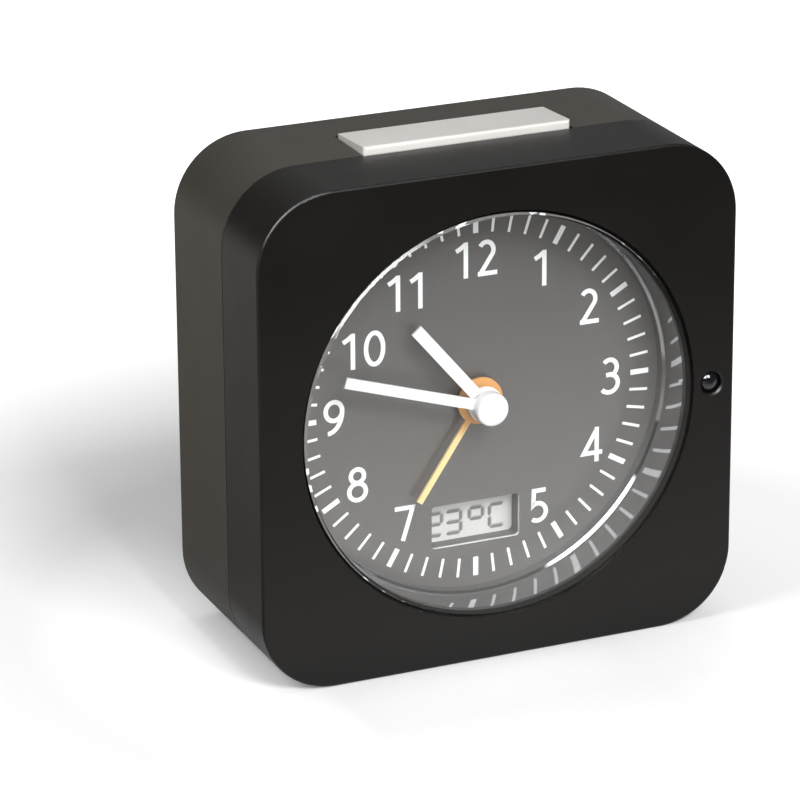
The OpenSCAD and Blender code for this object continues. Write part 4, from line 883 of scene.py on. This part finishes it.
def mirrored_floor(tree, spot):
    """The light that reflections see on the floor, and its share over the lit floor.

    In front of the clock it fades with distance; on the left it is warmer and grows with distance.
    """
    in_front = remap(tree, spot["Y"], -0.05, -0.22, 1.0, 0.08)
    clear_of_clock = remap(tree, spot["Y"], -0.02, -0.03, 0.0, 1.0)
    behind = remap(tree, spot["Y"], 0.0, 0.04, 0.0, 0.12)
    ends = math_node(tree, "ADD", math_node(tree, "MULTIPLY", in_front, clear_of_clock), behind)
    on_left = remap(tree, spot["X"], -0.047, -0.06, 0.0, 1.0)
    side_glow = remap(tree, spot["X"], -0.055, -0.15, 0.22, 0.65)
    strength = add(tree, "ShaderNodeMix", None, {"Factor": on_left, "A": ends, "B": side_glow})
    tint = mix_colour(tree, on_left, (1.0, 0.97, 0.94, 1.0), (1.0, 0.93, 0.85, 1.0))
    light = add(tree, "ShaderNodeEmission", None, {"Color": tint, "Strength": strength.outputs["Result"]})
    share = math_node(tree, "MAXIMUM", remap(tree, spot["Y"], -0.02, -0.05, 0.0, 1.0),
                      remap(tree, spot["Y"], 0.0, 0.04, 0.0, 0.6))
    return light.outputs["Emission"], math_node(tree, "MAXIMUM", share, on_left)


def floor_finish():
    """White that keeps the clock's shadow, with its own light for the camera and for reflections."""
    finish = bpy.data.materials.new("studio_floor")
    tree = empty_tree(finish)
    camera, bent = seen_rays(tree)
    seen = math_node(tree, "MAXIMUM", camera, bent)
    white = mix_colour(tree, seen, (0.3, 0.3, 0.3, 1.0), (0.82, 0.82, 0.82, 1.0))
    diffuse = add(tree, "ShaderNodeBsdfDiffuse", None, {"Color": white})
    spot = geometry(tree, "Position")
    away = from_origin(tree, add(tree, "ShaderNodeNewGeometry").outputs["Position"])
    strength = math_node(tree, "MULTIPLY", camera, floor_whiteness(tree, away, spot))
    glow = add(tree, "ShaderNodeEmission", None, {"Color": (1.0, 1.0, 1.0, 1.0), "Strength": strength})
    lit = add(tree, "ShaderNodeAddShader", None, {0: diffuse.outputs["BSDF"], 1: glow.outputs["Emission"]})
    mirrored, share = mirrored_floor(tree, spot)
    both = add(tree, "ShaderNodeMixShader", None, {"Fac": math_node(tree, "MULTIPLY", share, bent),
                                                   1: lit.outputs["Shader"], 2: mirrored})
    feed(tree, add(tree, "ShaderNodeOutputMaterial"), "Surface", both.outputs["Shader"])
    return finish


def make_floor():
    """A wide white floor."""
    half = floor_half
    corners = [(-half, -half, 0), (half, -half, 0), (half, half, 0), (-half, half, 0)]
    mesh = bpy.data.meshes.new("studio_floor")
    mesh.from_pydata(corners, [], [(0, 1, 2, 3)])
    floor = new_object("studio_floor", mesh, floor_finish())


def make_world():
    """White to the camera, a room with a window in reflections, and a soft fill for the rest."""
    world = bpy.data.worlds.new("studio_world")
    bpy.context.scene.world = world
    tree = empty_tree(world)
    camera, bent = seen_rays(tree)
    direction = add(tree, "ShaderNodeTexCoord").outputs["Generated"]
    split = add(tree, "ShaderNodeSeparateXYZ", None, {0: direction}).outputs
    room = math_node(tree, "MULTIPLY", remap(tree, split["X"], -0.35, 0.4, room_left, room_right),
                     remap(tree, split["Y"], -0.4, 0.5, room_front, 1.0))
    towards = dot_product(tree, direction, window_direction)
    window = remap(tree, towards, 0.84, 0.96, 0.0, window_strength)
    high_part = remap(tree, split["Z"], 0.36, 0.48, 0.0, 1.0)
    window = math_node(tree, "MULTIPLY", window, high_part)
    room = math_node(tree, "ADD", room, window)
    strength = math_node(tree, "ADD", math_node(tree, "MULTIPLY", bent, room), camera)
    fill = math_node(tree, "SUBTRACT", 1.0, math_node(tree, "MAXIMUM", camera, bent), True)
    strength = math_node(tree, "ADD", strength, math_node(tree, "MULTIPLY", fill, world_fill))
    sky = add(tree, "ShaderNodeBackground", None, {"Color": (1.0, 1.0, 1.0, 1.0), "Strength": strength})
    feed(tree, add(tree, "ShaderNodeOutputWorld"), "Surface", sky.outputs["Background"])


def add_lamp(name, place, size, power, mirrored):
    """A soft lamp that points at the clock.

    No lamp is seen through clear pieces, since their shadow rays already let its light in.
    """
    lamp = bpy.data.lights.new(name, "AREA")
    lamp.shape = "RECTANGLE"
    lamp.size, lamp.size_y = size
    lamp.energy = power
    towards = Vector(lamp_aim) - Vector(place)
    holder = bpy.data.objects.new(name, lamp)
    holder.location = place
    holder.rotation_euler = towards.to_track_quat("-Z", "Y").to_euler()
    holder.visible_transmission = False
    holder.visible_glossy = mirrored
    bpy.context.scene.collection.objects.link(holder)


def make_lamps():
    """A broad key lamp high in front, a small one on the left, a low wide one in front and one above."""
    for name, values in lamps.items():
        add_lamp(name, *values)


def make_camera():
    """The camera at the photograph's viewing angle."""
    azimuth, elevation = math.radians(view_azimuth), math.radians(view_elevation)
    roll = math.radians(view_roll)
    back = Vector((math.sin(azimuth) * math.cos(elevation), -math.cos(azimuth) * math.cos(elevation),
                   math.sin(elevation)))
    level = Vector((math.cos(azimuth), math.sin(azimuth), 0))
    upright = back.cross(level)
    right = level * math.cos(roll) + upright * math.sin(roll)
    up = upright * math.cos(roll) - level * math.sin(roll)
    lens = bpy.data.cameras.new("photo_camera")
    lens.sensor_fit = "HORIZONTAL"
    lens.sensor_width = view_sensor
    lens.lens = view_lens
    camera = bpy.data.objects.new("photo_camera", lens)
    turn = Matrix((right, up, back)).transposed().to_4x4()
    camera.matrix_world = Matrix.Translation((view_target + back * view_distance) * MM) @ turn
    bpy.context.scene.collection.objects.link(camera)
    bpy.context.scene.camera = camera


bpy.context.scene.view_settings.view_transform = "Standard"
make_camera()
dress_parts(build_finishes())
print_dial()
light_display()
make_floor()
make_world()
make_lamps()
